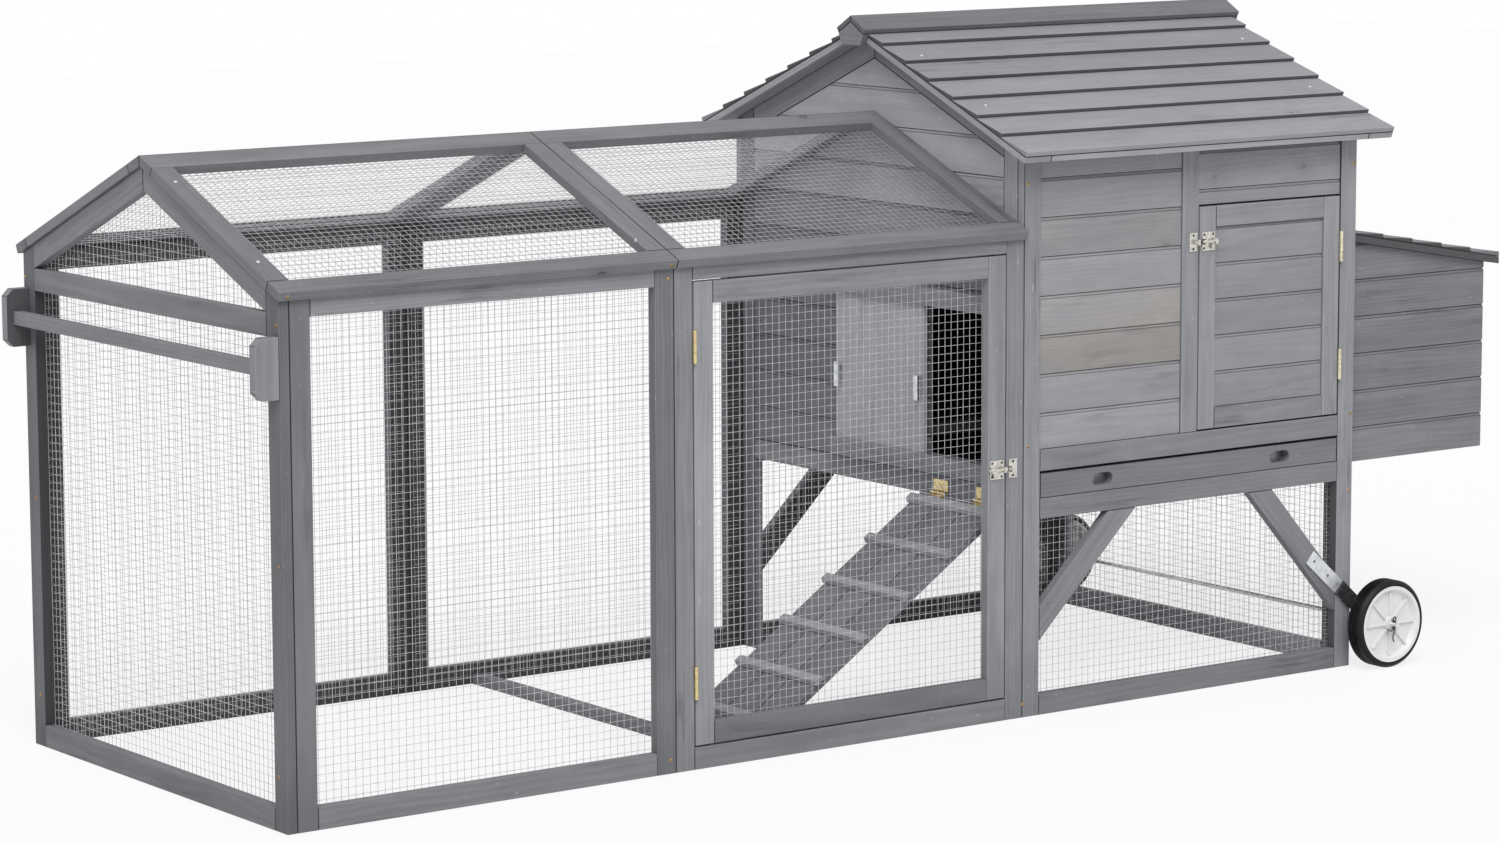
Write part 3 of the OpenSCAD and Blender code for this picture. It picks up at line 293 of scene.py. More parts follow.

# %% [markdown]
# The grain group adds up thin layers of tone: faint growth rings, long streaks, cloudy blotches
# where the stain pooled, fine fibres, a few dark rubbed smudges and pale scuffs. Knots are rings
# with a paler heart. Near the floor painted shade darkens the wood. Three values ride on the
# mesh: tint and warm belong to a board, and stain says how light a face comes out, from its stain,
# wear and joints together with painted shade and painted light.

# %% The grain group and its layers
grain_group, t, given, result = new_group(
    "stained_grain",
    [("Stain", COLOR, (0.3, 0.3, 0.3, 1)), ("Warm stain", COLOR, (0.3, 0.28, 0.26, 1)),
     ("Ring depth", FLOAT, 0.1), ("Streak depth", FLOAT, 0.4), ("Blotch depth", FLOAT, 0.3),
     ("Knot depth", FLOAT, 0.7), ("Scuffs", FLOAT, 0.3), ("Fibre depth", FLOAT, 0.2),
     ("Smear depth", FLOAT, 0.3)])
at = t.node("Attribute", attribute_name="grain").outputs["Vector"]
tint = t.node("Attribute", attribute_name="tint").outputs["Fac"]
warm = t.node("Attribute", attribute_name="warm").outputs["Fac"]
# a face's stain value holds its stain, wear and joints, and also painted shade and painted light
stain_and_painted_light = t.node("Attribute", attribute_name="stain").outputs["Fac"]
# changes in a metre along, across and through the wood
BEND, FIBRE, STREAK = (3.0, 16.0, 16.0), (10.0, 620.0, 620.0), (2.0, 55.0, 55.0)
PATCH, MOTTLE, SCUFF = (5.0, 13.0, 13.0), (22.0, 34.0, 34.0), (55.0, 150.0, 150.0)
SMUDGE, WORN_LINE = (2.6, 9.0, 9.0), (9.0, 95.0, 95.0)
fibre = t.noise(at, FIBRE, 3.0, 0.6)
streak = t.noise(at, STREAK, 4.0, 0.6)
patch = t.noise(at, PATCH, 3.0, 0.55)
mottle = t.noise(at, MOTTLE, 4.0, 0.62)
scuff = t.ramp(t.noise(at, SCUFF, 1.0), 0.74, 0.8)
rubbed = t.math("MULTIPLY", t.ramp(t.noise(at, SMUDGE), 0.52, 0.7),
                t.ramp(t.noise(at, WORN_LINE, 4.0, 0.6), 0.47, 0.68))
print("grain layers:", len(grain_group.nodes), "nodes")

# %% [markdown]
# Growth rings are nested cylinders round the heart of the tree. A wave texture could draw them flat
# on one face, but then the sides and the end grain would not match. So a ring is a sine of the
# distance from the heart, and a little noise bends it.

# %% Growth rings
RING_SPACING, WARP, RING_EDGE = 0.0052, 0.018, 1.7
split = t.node("SeparateXYZ")
t.set(split.inputs[0], at)
bend = t.math("MULTIPLY", t.math("SUBTRACT", t.noise(at, BEND), 0.5), WARP)
squares = [t.math("POWER", split.outputs[i], 2) for i in (1, 2)]
heart = t.math("SQRT", t.math("ADD", *squares))
phase = t.math("MULTIPLY", t.math("ADD", heart, bend), 2 * math.pi / RING_SPACING)
ring = t.math("POWER", t.math("MULTIPLY_ADD", t.math("SINE", phase), 0.5, 0.5), RING_EDGE)
print("rings", RING_SPACING, "m apart")

# %% [markdown]
# A knot is a branch cut across: a dark rim round a paler heart, in wood that is darker about it. Each
# cell of a Voronoi texture could hold one. The cell's random colour picks the few that do, so no
# knot is placed by hand.

# %% Knots
KNOT_CELLS, KNOT_RARITY, KNOT_WOBBLE = (10.0, 14.0, 14.0), 0.94, 0.09
cell = t.node("TexVoronoi")
t.set(cell.inputs["Vector"], t.stretch(at, KNOT_CELLS))
cell.inputs["Scale"].default_value = 1.0
pick = t.node("SeparateColor")
t.set(pick.inputs[0], cell.outputs["Color"])
kept = t.math("GREATER_THAN", pick.outputs[0], KNOT_RARITY)
reach = t.about(mottle, 0.5, KNOT_WOBBLE, cell.outputs["Distance"])
inside_rim = t.math("SUBTRACT", 1.0, t.ramp(reach, 0.075, 0.11))
rim = t.math("MULTIPLY", t.ramp(reach, 0.03, 0.07), inside_rim)
core = t.math("SUBTRACT", 1.0, t.ramp(reach, 0.0, 0.05))
knot = t.math("MULTIPLY", kept, t.math("MAXIMUM", rim, t.math("MULTIPLY", core, 0.45)))
halo = t.math("MULTIPLY", kept, t.math("SUBTRACT", 1.0, t.ramp(reach, 0.08, 0.36)))
print("cells with a knot: 1 in", round(1 / (1 - KNOT_RARITY)))

# %% [markdown]
# The layers are now added up to one tone round 1, and the stain's colour is multiplied by it, so
# the same group serves every finish. The fibres also change the gloss, and fibres, rings and knots
# raise or sink the surface.

# %% Colour, gloss and height of the grain
GROUND_SHADE_TOP, GROUND_SHADE_SHARE = 0.14, 0.8
MOTTLE_DEPTH, TINT_DEPTH, HALO_DEPTH = 0.22, 0.15, -0.1
KNOT_BROWN = (0.075, 0.066, 0.058, 1)
ROUGH_GAIN, ROUGH_BASE = 0.22, 0.52
FIBRE_HIGH, RING_HIGH, KNOT_HIGH = 0.6, -0.3, -0.5
low = t.node("SeparateXYZ")
t.set(low.inputs[0], t.node("TexCoord").outputs["Object"])
# painted shade: the wood is darkened towards the floor
clear_of_floor = t.ramp(low.outputs[2], 0.0, GROUND_SHADE_TOP)
ground_shade = t.math("MULTIPLY_ADD", clear_of_floor, 1 - GROUND_SHADE_SHARE, GROUND_SHADE_SHARE)
tone = t.about(ring, 0.4, given["Ring depth"], 1.0)
for layer, depth in ((streak, given["Streak depth"]), (patch, given["Blotch depth"]),
                     (mottle, MOTTLE_DEPTH), (fibre, given["Fibre depth"]), (tint, TINT_DEPTH)):
    tone = t.about(layer, 0.5, depth, tone)
tone = t.math("SUBTRACT", tone, t.math("MULTIPLY", rubbed, given["Smear depth"]))
tone = t.math("MULTIPLY_ADD", halo, HALO_DEPTH, tone)
tone = t.math("MULTIPLY", t.math("MULTIPLY_ADD", scuff, given["Scuffs"], tone), ground_shade)
warmth = t.math("MULTIPLY", warm, t.ramp(patch, 0.25, 0.7))
stained = t.mix(warmth, given["Stain"], given["Warm stain"])
stained = t.mix(t.math("MULTIPLY", knot, given["Knot depth"]), stained, KNOT_BROWN)
t.set(result["Color"], t.times(stained, t.math("MULTIPLY", tone, stain_and_painted_light)))
t.set(result["Roughness"], t.math("MULTIPLY_ADD", fibre, ROUGH_GAIN, ROUGH_BASE))
height = t.math("ADD", t.math("MULTIPLY", fibre, FIBRE_HIGH), t.math("MULTIPLY", ring, RING_HIGH))
t.set(result["Height"], t.math("ADD", height, t.math("MULTIPLY", knot, KNOT_HIGH)))
print("grain group:", len(grain_group.nodes), "nodes")

# %% [markdown]
# Wall boards took a nearly neutral grey. Frames and roof boards took a bluer one, and the frames
# show the strongest streaks and knots.

# %% Wood finishes
GRAIN_RELIEF, GRAIN_DEPTH, STAIN_SHEEN = 0.5, 0.00035, 0.3
COOL, NEUTRAL, WARM = (0.292, 0.296, 0.318), (0.297, 0.296, 0.314), (0.312, 0.286, 0.268)


def stained_wood(name, stain, rings, streaks, blotches, knots, scuffs, fibres, smears):
    """A stained finish; each number is the depth of one layer of the grain."""
    values = {"Stain": stain, "Warm stain": WARM, "Ring depth": rings, "Streak depth": streaks,
              "Blotch depth": blotches, "Knot depth": knots, "Scuffs": scuffs, "Fibre depth": fibres,
              "Smear depth": smears}
    material, tree, shade, placed = grouped(name, grain_group, values, GRAIN_RELIEF, GRAIN_DEPTH)
    shade["Specular IOR Level"].default_value = STAIN_SHEEN
    return material


frame_stain = stained_wood("grey_stained_frame", COOL, rings=0.1, streaks=0.46, blotches=0.42,
                           knots=0.7, scuffs=0.4, fibres=0.22, smears=0.34)
board_stain = stained_wood("grey_stained_boards", NEUTRAL, rings=0.06, streaks=0.15, blotches=0.24,
                           knots=0.3, scuffs=0.2, fibres=0.1, smears=0.24)
roof_stain = stained_wood("grey_stained_roof", COOL, rings=0.05, streaks=0.26, blotches=0.34,
                          knots=0.5, scuffs=0.45, fibres=0.14, smears=0.28)
print("wood finishes:", [m.name for m in (frame_stain, board_stain, roof_stain)])

# %% [markdown]
# ## Timber
# A planed edge is never knife sharp, so each member is copied from its solid, cleaned to flat
# faces and given a small bevel. Where two members meet, stain and dirt gather in the joint, and on
# a free edge handling rubs some stain away. So all the timbers are read first into one search
# tree, and every sharp edge asks it whether another member lies against it.

# %% Members of a solid
WELD, FLAT = 2e-5, math.radians(0.6)


def members(bm):
    """Lists of vertices, one for each loose piece, in the order of their first vertices."""
    left, found = set(bm.verts), []
    for first in bm.verts:
        if first not in left:
            continue
        left.remove(first)
        stack, piece = [first], []
        while stack:
            v = stack.pop()
            piece.append(v)
            for e in v.link_edges:
                o = e.other_vert(v)
                if o in left:
                    left.remove(o)
                    stack.append(o)
        found.append(piece)
    return found


def flat_solid(node):
    """A node's solid with its flat faces whole, and a number for each loose member."""
    bm = bmesh.new()
    bm.from_mesh(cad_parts[node].data)
    for name in ("tint", "warm"):
        bm.verts.layers.float.new(name)
    bm.verts.layers.float_vector.new("grain")
    # the face value stain also carries painted shade and painted light
    bm.faces.layers.float.new("stain")
    number = bm.verts.layers.int.new("member")
    bmesh.ops.remove_doubles(bm, verts=bm.verts, dist=WELD)
    bmesh.ops.dissolve_limit(bm, angle_limit=FLAT, verts=bm.verts, edges=bm.edges)
    bm.normal_update()
    for i, piece in enumerate(members(bm)):
        for v in piece:
            v[number] = i
    return bm


print("points closer than", WELD, "m become one")

# %% [markdown]
# Two numbers say how light a node's upright and level members come out, 1 being the finish's own
# tone. They hold the stain and also painted shade and painted light: the run's back panels are set
# darker where the run's shade falls on them, and the gable frame's uprights paler. The last one is
# the share of its boards that drew a warmer colour.

# %% Timbers and their finishes
# node, body, finish, lightness of uprights, of level members, share of warm boards
TIMBERS = [
    ("house_front_boards", "frame", board_stain, 1.0, 1.0, 0.0),
    ("house_back_boards", "frame", board_stain, 0.97, 0.97, 0.35),
    ("house_gable_boards", "frame", roof_stain, 1.04, 1.04, 0.0),
    ("house_end_boards", "frame", board_stain, 0.95, 0.95, 0.35),
    ("house_door_boards", "house_door", board_stain, 0.87, 0.87, 0.0),
    ("house_front_frame", "frame", frame_stain, 0.9, 0.69, 0.0),
    ("house_back_frame", "frame", frame_stain, 0.88, 0.72, 0.04),
    # painted light: the gable frame's uprights are set paler
    ("house_gable_frame", "frame", frame_stain, 1.2, 0.85, 0.0),
    ("house_end_frame", "frame", frame_stain, 0.85, 0.74, 0.04),
    ("house_door_frame", "house_door", frame_stain, 0.9, 0.82, 0.0),
    ("house_braces", "frame", frame_stain, 0.68, 0.68, 0.04),
    ("tray_front", "tray", frame_stain, 0.56, 0.56, 0.04),
    ("tray_runners", "frame", frame_stain, 0.6, 0.6, 0.04),
    ("perch", "frame", frame_stain, 0.6, 0.6, 0.04),
    ("nest_walls", "frame", frame_stain, 0.66, 0.66, 0.05),
    ("nest_floor", "frame", board_stain, 0.62, 0.62, 0.1),
    ("nest_lid", "nest_lid", roof_stain, 0.66, 0.66, 0.1),
    ("run_end_frame", "frame", frame_stain, 0.44, 0.72, 0.04),
    ("run_front_panel", "frame", frame_stain, 0.6, 0.82, 0.04),
    ("run_door_surround", "frame", frame_stain, 0.76, 0.82, 0.0),
    # painted shade: the run's back panels are set darker
    ("run_back_panels", "frame", frame_stain, 0.44, 0.58, 0.04),
    ("run_floor_rail", "frame", frame_stain, 0.8, 0.8, 0.04),
    ("run_roof_frames", "frame", frame_stain, 0.62, 0.62, 0.0),
    ("run_door_frame", "run_door", frame_stain, 0.9, 0.76, 0.0),
    ("handle_plates", "frame", frame_stain, 0.79, 0.79, 0.04),
    ("handle_bar", "frame", frame_stain, 0.66, 0.66, 0.04),
    ("roof_front_boards", "frame", roof_stain, 0.92, 0.92, 0.02),
    ("roof_back_boards", "frame", roof_stain, 0.92, 0.92, 0.02),
    ("roof_battens", "frame", frame_stain, 1.15, 1.15, 0.04),
    ("ridge_boards", "frame", frame_stain, 0.54, 0.54, 0.04),
    ("ridge_end_blocks", "frame", frame_stain, 0.8, 0.8, 0.04),
    ("pop_door", "pop_door", board_stain, 1.28, 1.28, 0.0),
    ("pop_door_guides", "frame", frame_stain, 0.8, 0.8, 0.04),
    ("ramp_plank", "ramp", frame_stain, 0.59, 0.59, 0.04),
    ("ramp_cleats", "ramp", frame_stain, 1.15, 1.15, 0.04),
]
print("timber nodes:", len(TIMBERS))

# %% Read the timbers
solids = {row[0]: flat_solid(row[0]) for row in TIMBERS}
points, polygons, owner = [], [], []
for node, bm in solids.items():
    number = bm.verts.layers.int["member"]
    first = len(points)
    bm.verts.index_update()
    points += [v.co.copy() for v in bm.verts]
    for f in bm.faces:
        polygons.append([first + v.index for v in f.verts])
        owner.append((node, f.verts[0][number]))
all_timber = BVHTree.FromPolygons(points, polygons)
print("timbers:", len(set(owner)), "faces:", len(polygons))

# %% [markdown]
# A sharp edge is a joint where most of it lies against another member, a seam where it is the
# shallow bevel along a cladding board, and otherwise a free edge. The bevel's new faces take the
# kind of the edge they came from.

# %% Joints, seams and free edges
SHARP, SEAM, NEAR = math.radians(28), math.radians(60), 0.0014
LOOK_AT, MOST = (0.1, 0.3, 0.5, 0.7, 0.9), 3
EDGE_SHARE = {"joint": 0.2, "seam": 0.5, "free": 1.12}


def edge_kind(edge, own):
    """Joint, seam or free, by what lies near a few points of an edge."""
    a, b = (v.co for v in edge.verts)
    touching = 0
    for s in LOOK_AT:
        met = all_timber.find_nearest_range(a.lerp(b, s), NEAR)
        touching += any(owner[hit[2]] != own for hit in met)
    if touching >= MOST:
        return "joint"
    return "seam" if edge.calc_face_angle(0) < SEAM else "free"


def off_line(at, line):
    """Distance of a point from a line between two ends."""
    share = intersect_point_line(at, line[0], line[1])[1]
    return (at - line[0].lerp(line[1], min(1.0, max(0.0, share)))).length


print("edge shares", EDGE_SHARE)

# %% [markdown]
# The members do not all show the same grey. End grain looks darker, as sawn wood does that drinks more
# stain. Inner faces of the walls carry painted shade, and the lower edges of the lapped boards above
# the lowest carry painted shade on a slightly darker sawn edge. Place counts too: the gable boards
# have painted shade below the eaves and painted light above, the run door's bottom rail and the far
# gable post have painted shade, the low end rail has painted light, and the roof's boards and battens
# are darker towards the ridge.
# How much of this is stain and how much is the photograph's light can't be told, so these shares
# were matched.

# %% Lightness by cut and by place
INNER_SHADE_SHARE, END_SHARE, LAP_SHARE, PAINTED_LIGHT_GAIN = 0.33, 0.84, 0.36, 1.35
WALL_IN, RUN_IN, HOUSE_IN, RAIL_TOP = 0.35, -1.16, 0.86, 0.06
GABLE_FOOT, GABLE_GAIN, GABLE_FROM, GABLE_RISE = 0.56, 0.94, 0.76, 0.14
ROOF_FOOT, ROOF_LOSS, ROOF_FROM, ROOF_RISE = 1.06, 0.17, 0.93, 0.17
FAR_POST, LOW_END_RAIL, DOOR_FOOT = 0.55, 1.9, 0.74
FAR_SIDE, POST_TOP, DOOR_FOOT_TOP, RUN_SIDE = 0.2, 0.75, 0.25, 0.2
# how far a face's direction has to lean one way to count
FACING, INWARD, END_ON, LAP_TILT, LAP_UP = 0.7, 0.5, 0.8, 0.75, 0.3


def painted_shade_inside(at, out):
    """True for the back of a wall member, which looks into the coop and is given painted shade."""
    long_wall = abs(at.y) > WALL_IN and out.y * at.y < -INWARD * abs(at.y)
    house_post = at.x > HOUSE_IN and at.z > RAIL_TOP and out.x < -FACING
    return long_wall or (at.x < RUN_IN and out.x > FACING) or house_post


def climb(z, start, rise):
    """0 up to a height, 1 above its rise and evenly between."""
    return min(1.0, max(0.0, (z - start) / rise))


def place_share(node, at):
    """How a member's place changes its lightness, with painted shade and painted light on some members."""
    # painted shade on the gable boards below the eaves and painted light above them
    if node == "house_gable_boards":
        return GABLE_FOOT + GABLE_GAIN * climb(at.z, GABLE_FROM, GABLE_RISE)
    # painted shade on the far gable post, which stands in the run's shade
    if node == "house_gable_frame" and at.y > FAR_SIDE and at.z < POST_TOP:
        return FAR_POST
    # painted light on the low end rail, which lies in shade under the house
    if node == "house_end_frame" and at.z < RAIL_TOP:
        return LOW_END_RAIL
    # painted shade on the run door's bottom rail
    if node == "run_door_frame" and at.z < DOOR_FOOT_TOP:
        return DOOR_FOOT
    if node.startswith("roof_"):
        return ROOF_FOOT - ROOF_LOSS * climb(at.z, ROOF_FROM, ROOF_RISE)
    return 1.0


LOWEST_BOARD = 0.03
LAPPED = {node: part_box(node)[0][2] + LOWEST_BOARD
          for node in ("roof_front_boards", "roof_back_boards", "nest_lid")}


def lap_edge(node, at, out):
    """True for the narrow lower edge of a lapped board above the lowest one."""
    return node in LAPPED and abs(out.z) < LAP_TILT and out.z < LAP_UP and at.z > LAPPED[node]


def face_share(node, face, along, share):
    """A face's lightness: its member's own, changed by how the face was cut and by painted shade and
    painted light.
    """
    at, out = face.calc_center_median(), face.normal
    # painted light on the outer side of the house front frame's left stile
    if node == "house_front_frame" and out.x < -FACING and at.x < RUN_SIDE:
        share *= PAINTED_LIGHT_GAIN
    # painted shade on faces that look into the coop
    if painted_shade_inside(at, out):
        share *= INNER_SHADE_SHARE
    # painted shade under each lap, on a slightly darker sawn edge
    if lap_edge(node, at, out):
        share *= LAP_SHARE
    if abs(out.dot(along)) > END_ON:
        share *= END_SHARE
    return share


print("lapped nodes", list(LAPPED))

# %% [markdown]
# Grain runs along a member's longest edge, and its widest side tells which way the board was cut.
# A few boards of the house front drew more colour than the others.

# %% Grain directions and warm boards
# x and z of a board's middle, and how warm it is
WARM_BOARDS = [(0.34, 0.764, 0.3), (0.34, 0.636, 0.8), (0.34, 0.572, 1.0)]
BOARD_NEAR_X, BOARD_NEAR_Z, SIDE_ON = 0.15, 0.033, 0.5


def warm_board(node, middle):
    """How warm a board of the house front is."""
    if node != "house_front_boards":
        return 0.0
    near = [w for x, z, w in WARM_BOARDS
            if abs(middle.x - x) < BOARD_NEAR_X and abs(middle.z - z) < BOARD_NEAR_Z]
    return max(near, default=0.0)


def grain_frame(piece):
    """Directions along, across and through a member."""
    edges = list(dict.fromkeys(e for v in piece for e in v.link_edges))
    longest = max(edges, key=lambda e: (round(e.calc_length(), 5), e.verts[0].co.x))
    along = (longest.verts[1].co - longest.verts[0].co).normalized()
    faces = list(dict.fromkeys(f for v in piece for f in v.link_faces))
    sides = [f for f in faces if abs(f.normal.dot(along)) < SIDE_ON]
    through = max(sides, key=lambda f: round(f.calc_area(), 7)).normal.copy()
    through = (through - along * through.dot(along)).normalized()
    return along, through.cross(along), through


print("warm boards:", len(WARM_BOARDS))

# %% [markdown]
# A Bevel modifier would ease the edges too, but it would not tell which edge a new face came from.
# So the bevel is made in the mesh and marks its new faces with a second material number, until each
# has found its edge. Grain, tint, warmth and stain are then written onto the mesh, where the grain
# group reads them; a face's stain also holds painted shade and painted light.

# %% Make the timbers
EDGE, EDGE_STEPS, EDGE_PROFILE, TIMBER_CREASE = 0.0011, 2, 0.55, math.radians(24)
UPRIGHT, WARMTH = 0.6, (0.4, 1.0)
# where a member lay in its tree: along it, and across and away from the heart
TREE_ALONG, TREE_ACROSS, TREE_AWAY = (0, 40), (-0.05, 0.05), (0.02, 0.09)


def timber(node, body, finish, upright, rail, warm_share):
    """A node's members as one piece with eased edges, joint lines and grain coordinates."""
    bm = solids[node]
    grain, stain = bm.verts.layers.float_vector["grain"], bm.faces.layers.float["stain"]
    tint, warm = bm.verts.layers.float["tint"], bm.verts.layers.float["warm"]
    number = bm.verts.layers.int["member"]
    corners = [e for e in bm.edges if len(e.link_faces) == 2 and e.calc_face_angle(0) > SHARP]
    lines = {}
    for e in corners:
        own = e.verts[0][number]
        ends = [v.co.copy() for v in e.verts]
        lines.setdefault(own, []).append((*ends, edge_kind(e, (node, own))))
    for f in bm.faces:
        f.material_index = 0
    bmesh.ops.bevel(bm, geom=corners, offset=EDGE, segments=EDGE_STEPS, profile=EDGE_PROFILE,
                    affect="EDGES", clamp_overlap=True, material=1)
    bm.normal_update()
    rng = random.Random(node)
    for p in members(bm):
        along, across, through = grain_frame(p)
        middle = sum((v.co for v in p), Vector()) / len(p)
        heart = Vector([rng.uniform(*span) for span in (TREE_ALONG, TREE_ACROSS, TREE_AWAY)])
        shade = rng.random()
        warmth = rng.uniform(*WARMTH) if rng.random() < warm_share else 0.0
        warmth = max(warmth, warm_board(node, middle))
        for v in p:
            at = v.co - middle
            v[grain] = Vector((at.dot(along), at.dot(across), at.dot(through))) + heart
            v[tint] = shade
            v[warm] = warmth
        own = p[0][number]
        lightness = (upright if abs(along.z) > UPRIGHT else rail) * place_share(node, middle)
        for f in dict.fromkeys(f for v in p for f in v.link_faces):
            share = face_share(node, f, along, lightness)
            if f.material_index == 1:
                at = f.calc_center_median()
                nearest = min(lines[own], key=lambda line: off_line(at, line))
                share *= EDGE_SHARE[nearest[2]]
            f[stain] = share
            f.material_index = 0
    mesh = bpy.data.meshes.new(node + "_timber")
    bm.to_mesh(mesh)
    bm.free()
    mesh.materials.append(finish)
    mesh.shade_smooth()
    mesh.set_sharp_from_angle(angle=TIMBER_CREASE)
    piece = bpy.data.objects.new(node + "_timber", mesh)
    scene.collection.objects.link(piece)
    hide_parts(node)
    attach(piece, body)
    return len(mesh.polygons)


print("timber faces:", sum(timber(*row) for row in TIMBERS))

# %% [markdown]
# ## Metal
# Bright zinc and nickel differ in colour and gloss. Most hinges have the yellow passivated zinc
# that shimmers from straw to pink, the house door's are a paler brass, and the axle arms are
# blackened. One group gives them all their cloudy dull places.

# %% The metal group
metal_group, t, given, result = new_group(
    "plated_metal",
    [("Clean", COLOR, (0.6, 0.6, 0.6, 1)), ("Dull", COLOR, (0.3, 0.3, 0.3, 1)),
     ("Size", FLOAT, 120.0), ("Gloss", FLOAT, 0.35)])
CLOUD_PART, SPOT_PART, DULL_FROM, DULL_FULL, DULL_ROUGH = 0.6, 0.5, 0.35, 0.85, 0.25
where = t.node("TexCoord").outputs["Object"]
cloud = t.node("TexNoise")
t.set(cloud.inputs["Vector"], where)
t.set(cloud.inputs["Scale"], given["Size"])
cloud.inputs["Detail"].default_value = 4.0
spots = t.node("TexVoronoi")
t.set(spots.inputs["Vector"], where)
t.set(spots.inputs["Scale"], given["Size"])
clouds = t.math("MULTIPLY", cloud.outputs["Fac"], CLOUD_PART)
dull = t.math("MULTIPLY_ADD", spots.outputs["Distance"], SPOT_PART, clouds)
dull = t.ramp(dull, DULL_FROM, DULL_FULL)
t.set(result["Color"], t.mix(dull, given["Clean"], given["Dull"]))
t.set(result["Roughness"], t.math("MULTIPLY_ADD", dull, DULL_ROUGH, given["Gloss"]))
t.set(result["Height"], dull)
print("metal group:", len(metal_group.nodes), "nodes")

# %% Metal finishes
PLATE_RELIEF, PLATE_DEPTH = 0.4, 0.00012
YELLOW = {"Clean": (0.78, 0.69, 0.33), "Dull": (0.6, 0.42, 0.27), "Size": 210.0, "Gloss": 0.26}
PALE = {"Clean": (0.86, 0.81, 0.62), "Dull": (0.56, 0.5, 0.35), "Size": 210.0, "Gloss": 0.24}


def plated(name, values, metallic=1.0):
    """A metal finish, with what is needed to change it further."""
    material, tree, shade, placed = grouped(name, metal_group, values, PLATE_RELIEF, PLATE_DEPTH)
    shade["Metallic"].default_value = metallic
    return material, tree, shade, placed


def metal(name, clean, dull_tone, size, gloss, metallic=1.0):
    """A plain metal finish from its two tones, the size of its clouds and its gloss."""
    values = {"Clean": clean, "Dull": dull_tone, "Size": float(size), "Gloss": gloss}
    return plated(name, values, metallic)[0]


wire_finish = metal("galvanised_wire", (0.62, 0.63, 0.64), (0.42, 0.43, 0.45), 90, 0.4, 0.6)
zinc_finish = metal("bright_zinc", (0.76, 0.77, 0.79), (0.62, 0.64, 0.66), 110, 0.3)
pan_finish = metal("dull_zinc_sheet", (0.3, 0.305, 0.315), (0.17, 0.175, 0.185), 60, 0.45)
nickel_finish = metal("nickel_plate", (0.74, 0.72, 0.67), (0.46, 0.44, 0.39), 260, 0.22)
hinge_finish = plated("yellow_zinc", YELLOW)[0]
pale_finish = plated("pale_brass", PALE)[0]
brass_finish = metal("brass_screws", (0.5, 0.35, 0.18), (0.3, 0.19, 0.1), 300, 0.34)
black_finish = metal("black_steel", (0.035, 0.036, 0.04), (0.08, 0.08, 0.085), 180, 0.35, 0.6)
print("hinge finishes:", hinge_finish.name, pale_finish.name)

# %% [markdown]
# The fixed hinge leaves are one node, so one finish serves both kinds: it is yellow along the run
# and pale at the house door.

# %% Finish of the fixed leaves
HOUSE_DOOR_FROM = 0.5
mixed_finish, tree, shade, yellow = plated("hinge_leaves", YELLOW)
pale = place_group(tree, metal_group, PALE)
along_coop = tree.node("SeparateXYZ")
tree.set(along_coop.inputs[0], tree.node("TexCoord").outputs["Object"])
at_house_door = tree.math("GREATER_THAN", along_coop.outputs[0], HOUSE_DOOR_FROM)
tree.set(shade["Base Color"], tree.mix(at_house_door, yellow["Color"], pale["Color"]))
print("fixed leaves turn pale from x =", HOUSE_DOOR_FROM)

# %% [markdown]
# ## Welded wire
# The run is closed with half inch welded mesh: straight wires both ways, one layer laid on the
# other. The solids hold only a coarse net, so each panel is drawn here wire by wire. A real panel
# is never quite flat, so every wire wanders by a fraction of a millimetre.

# %% One wire
MESH, WIRE_R, WANDER, BAY, SIDES = 0.0127, 0.0004, 0.0004, 0.11, 4


def add_wire(verts, faces, a, b, side, out, rng):
    """One wire from a to b as a thin prism with small bends."""
    bays = max(2, int((b - a).length / BAY))
    first = len(verts)
    for i in range(bays + 1):
        at = a.lerp(b, i / bays)
        if 0 < i < bays:
            sideways, outwards = rng.uniform(-WANDER, WANDER), rng.uniform(-WANDER / 3, WANDER / 3)
            at = at + side * sideways + out * outwards
        for k in range(SIDES):
            turn = 2 * math.pi * (k + 0.5) / SIDES
            verts.append(at + side * (WIRE_R * math.cos(turn)) + out * (WIRE_R * math.sin(turn)))
    for i in range(bays):
        for k in range(SIDES):
            n = (k + 1) % SIDES
            p = first + i * SIDES
            faces.append((p + k, p + n, p + SIDES + n, p + SIDES + k))
    last = first + bays * SIDES
    faces.append(tuple(range(first + SIDES - 1, first - 1, -1)))
    faces.append(tuple(range(last, last + SIDES)))


print("wire", WIRE_R * 2, "m thick")

# %% One panel
STEPS, FEW = 400, 8


def wire_panel(verts, faces, corner, u, v, wide, tall, rng, top=None):
    """Both layers of one panel; top(s) gives the height of a sloping edge at a distance s."""
    out = u.cross(v)
    columns, rows = int(wide / MESH), int(tall / MESH)
    for i in range(columns + 1):
        s = min(wide, i * MESH + (wide - columns * MESH) / 2)
        high = top(s) if top else tall
        if high > MESH:
            foot = corner + u * s + out * WIRE_R
            add_wire(verts, faces, foot, foot + v * high, u, out, rng)
    for j in range(rows + 1):
        s = min(tall, j * MESH + (tall - rows * MESH) / 2)
        low, far = 0.0, wide
        if top:
            inside = [k * wide / STEPS for k in range(STEPS + 1) if top(k * wide / STEPS) >= s]
            if len(inside) < FEW:
                continue
            low, far = inside[0], inside[-1]
        back = corner + v * s - out * WIRE_R
        add_wire(verts, faces, back + u * low, back + u * far, v, out, rng)


print("squares of", MESH, "m")

# %% Pieces from points and faces
CREASE = math.radians(40)


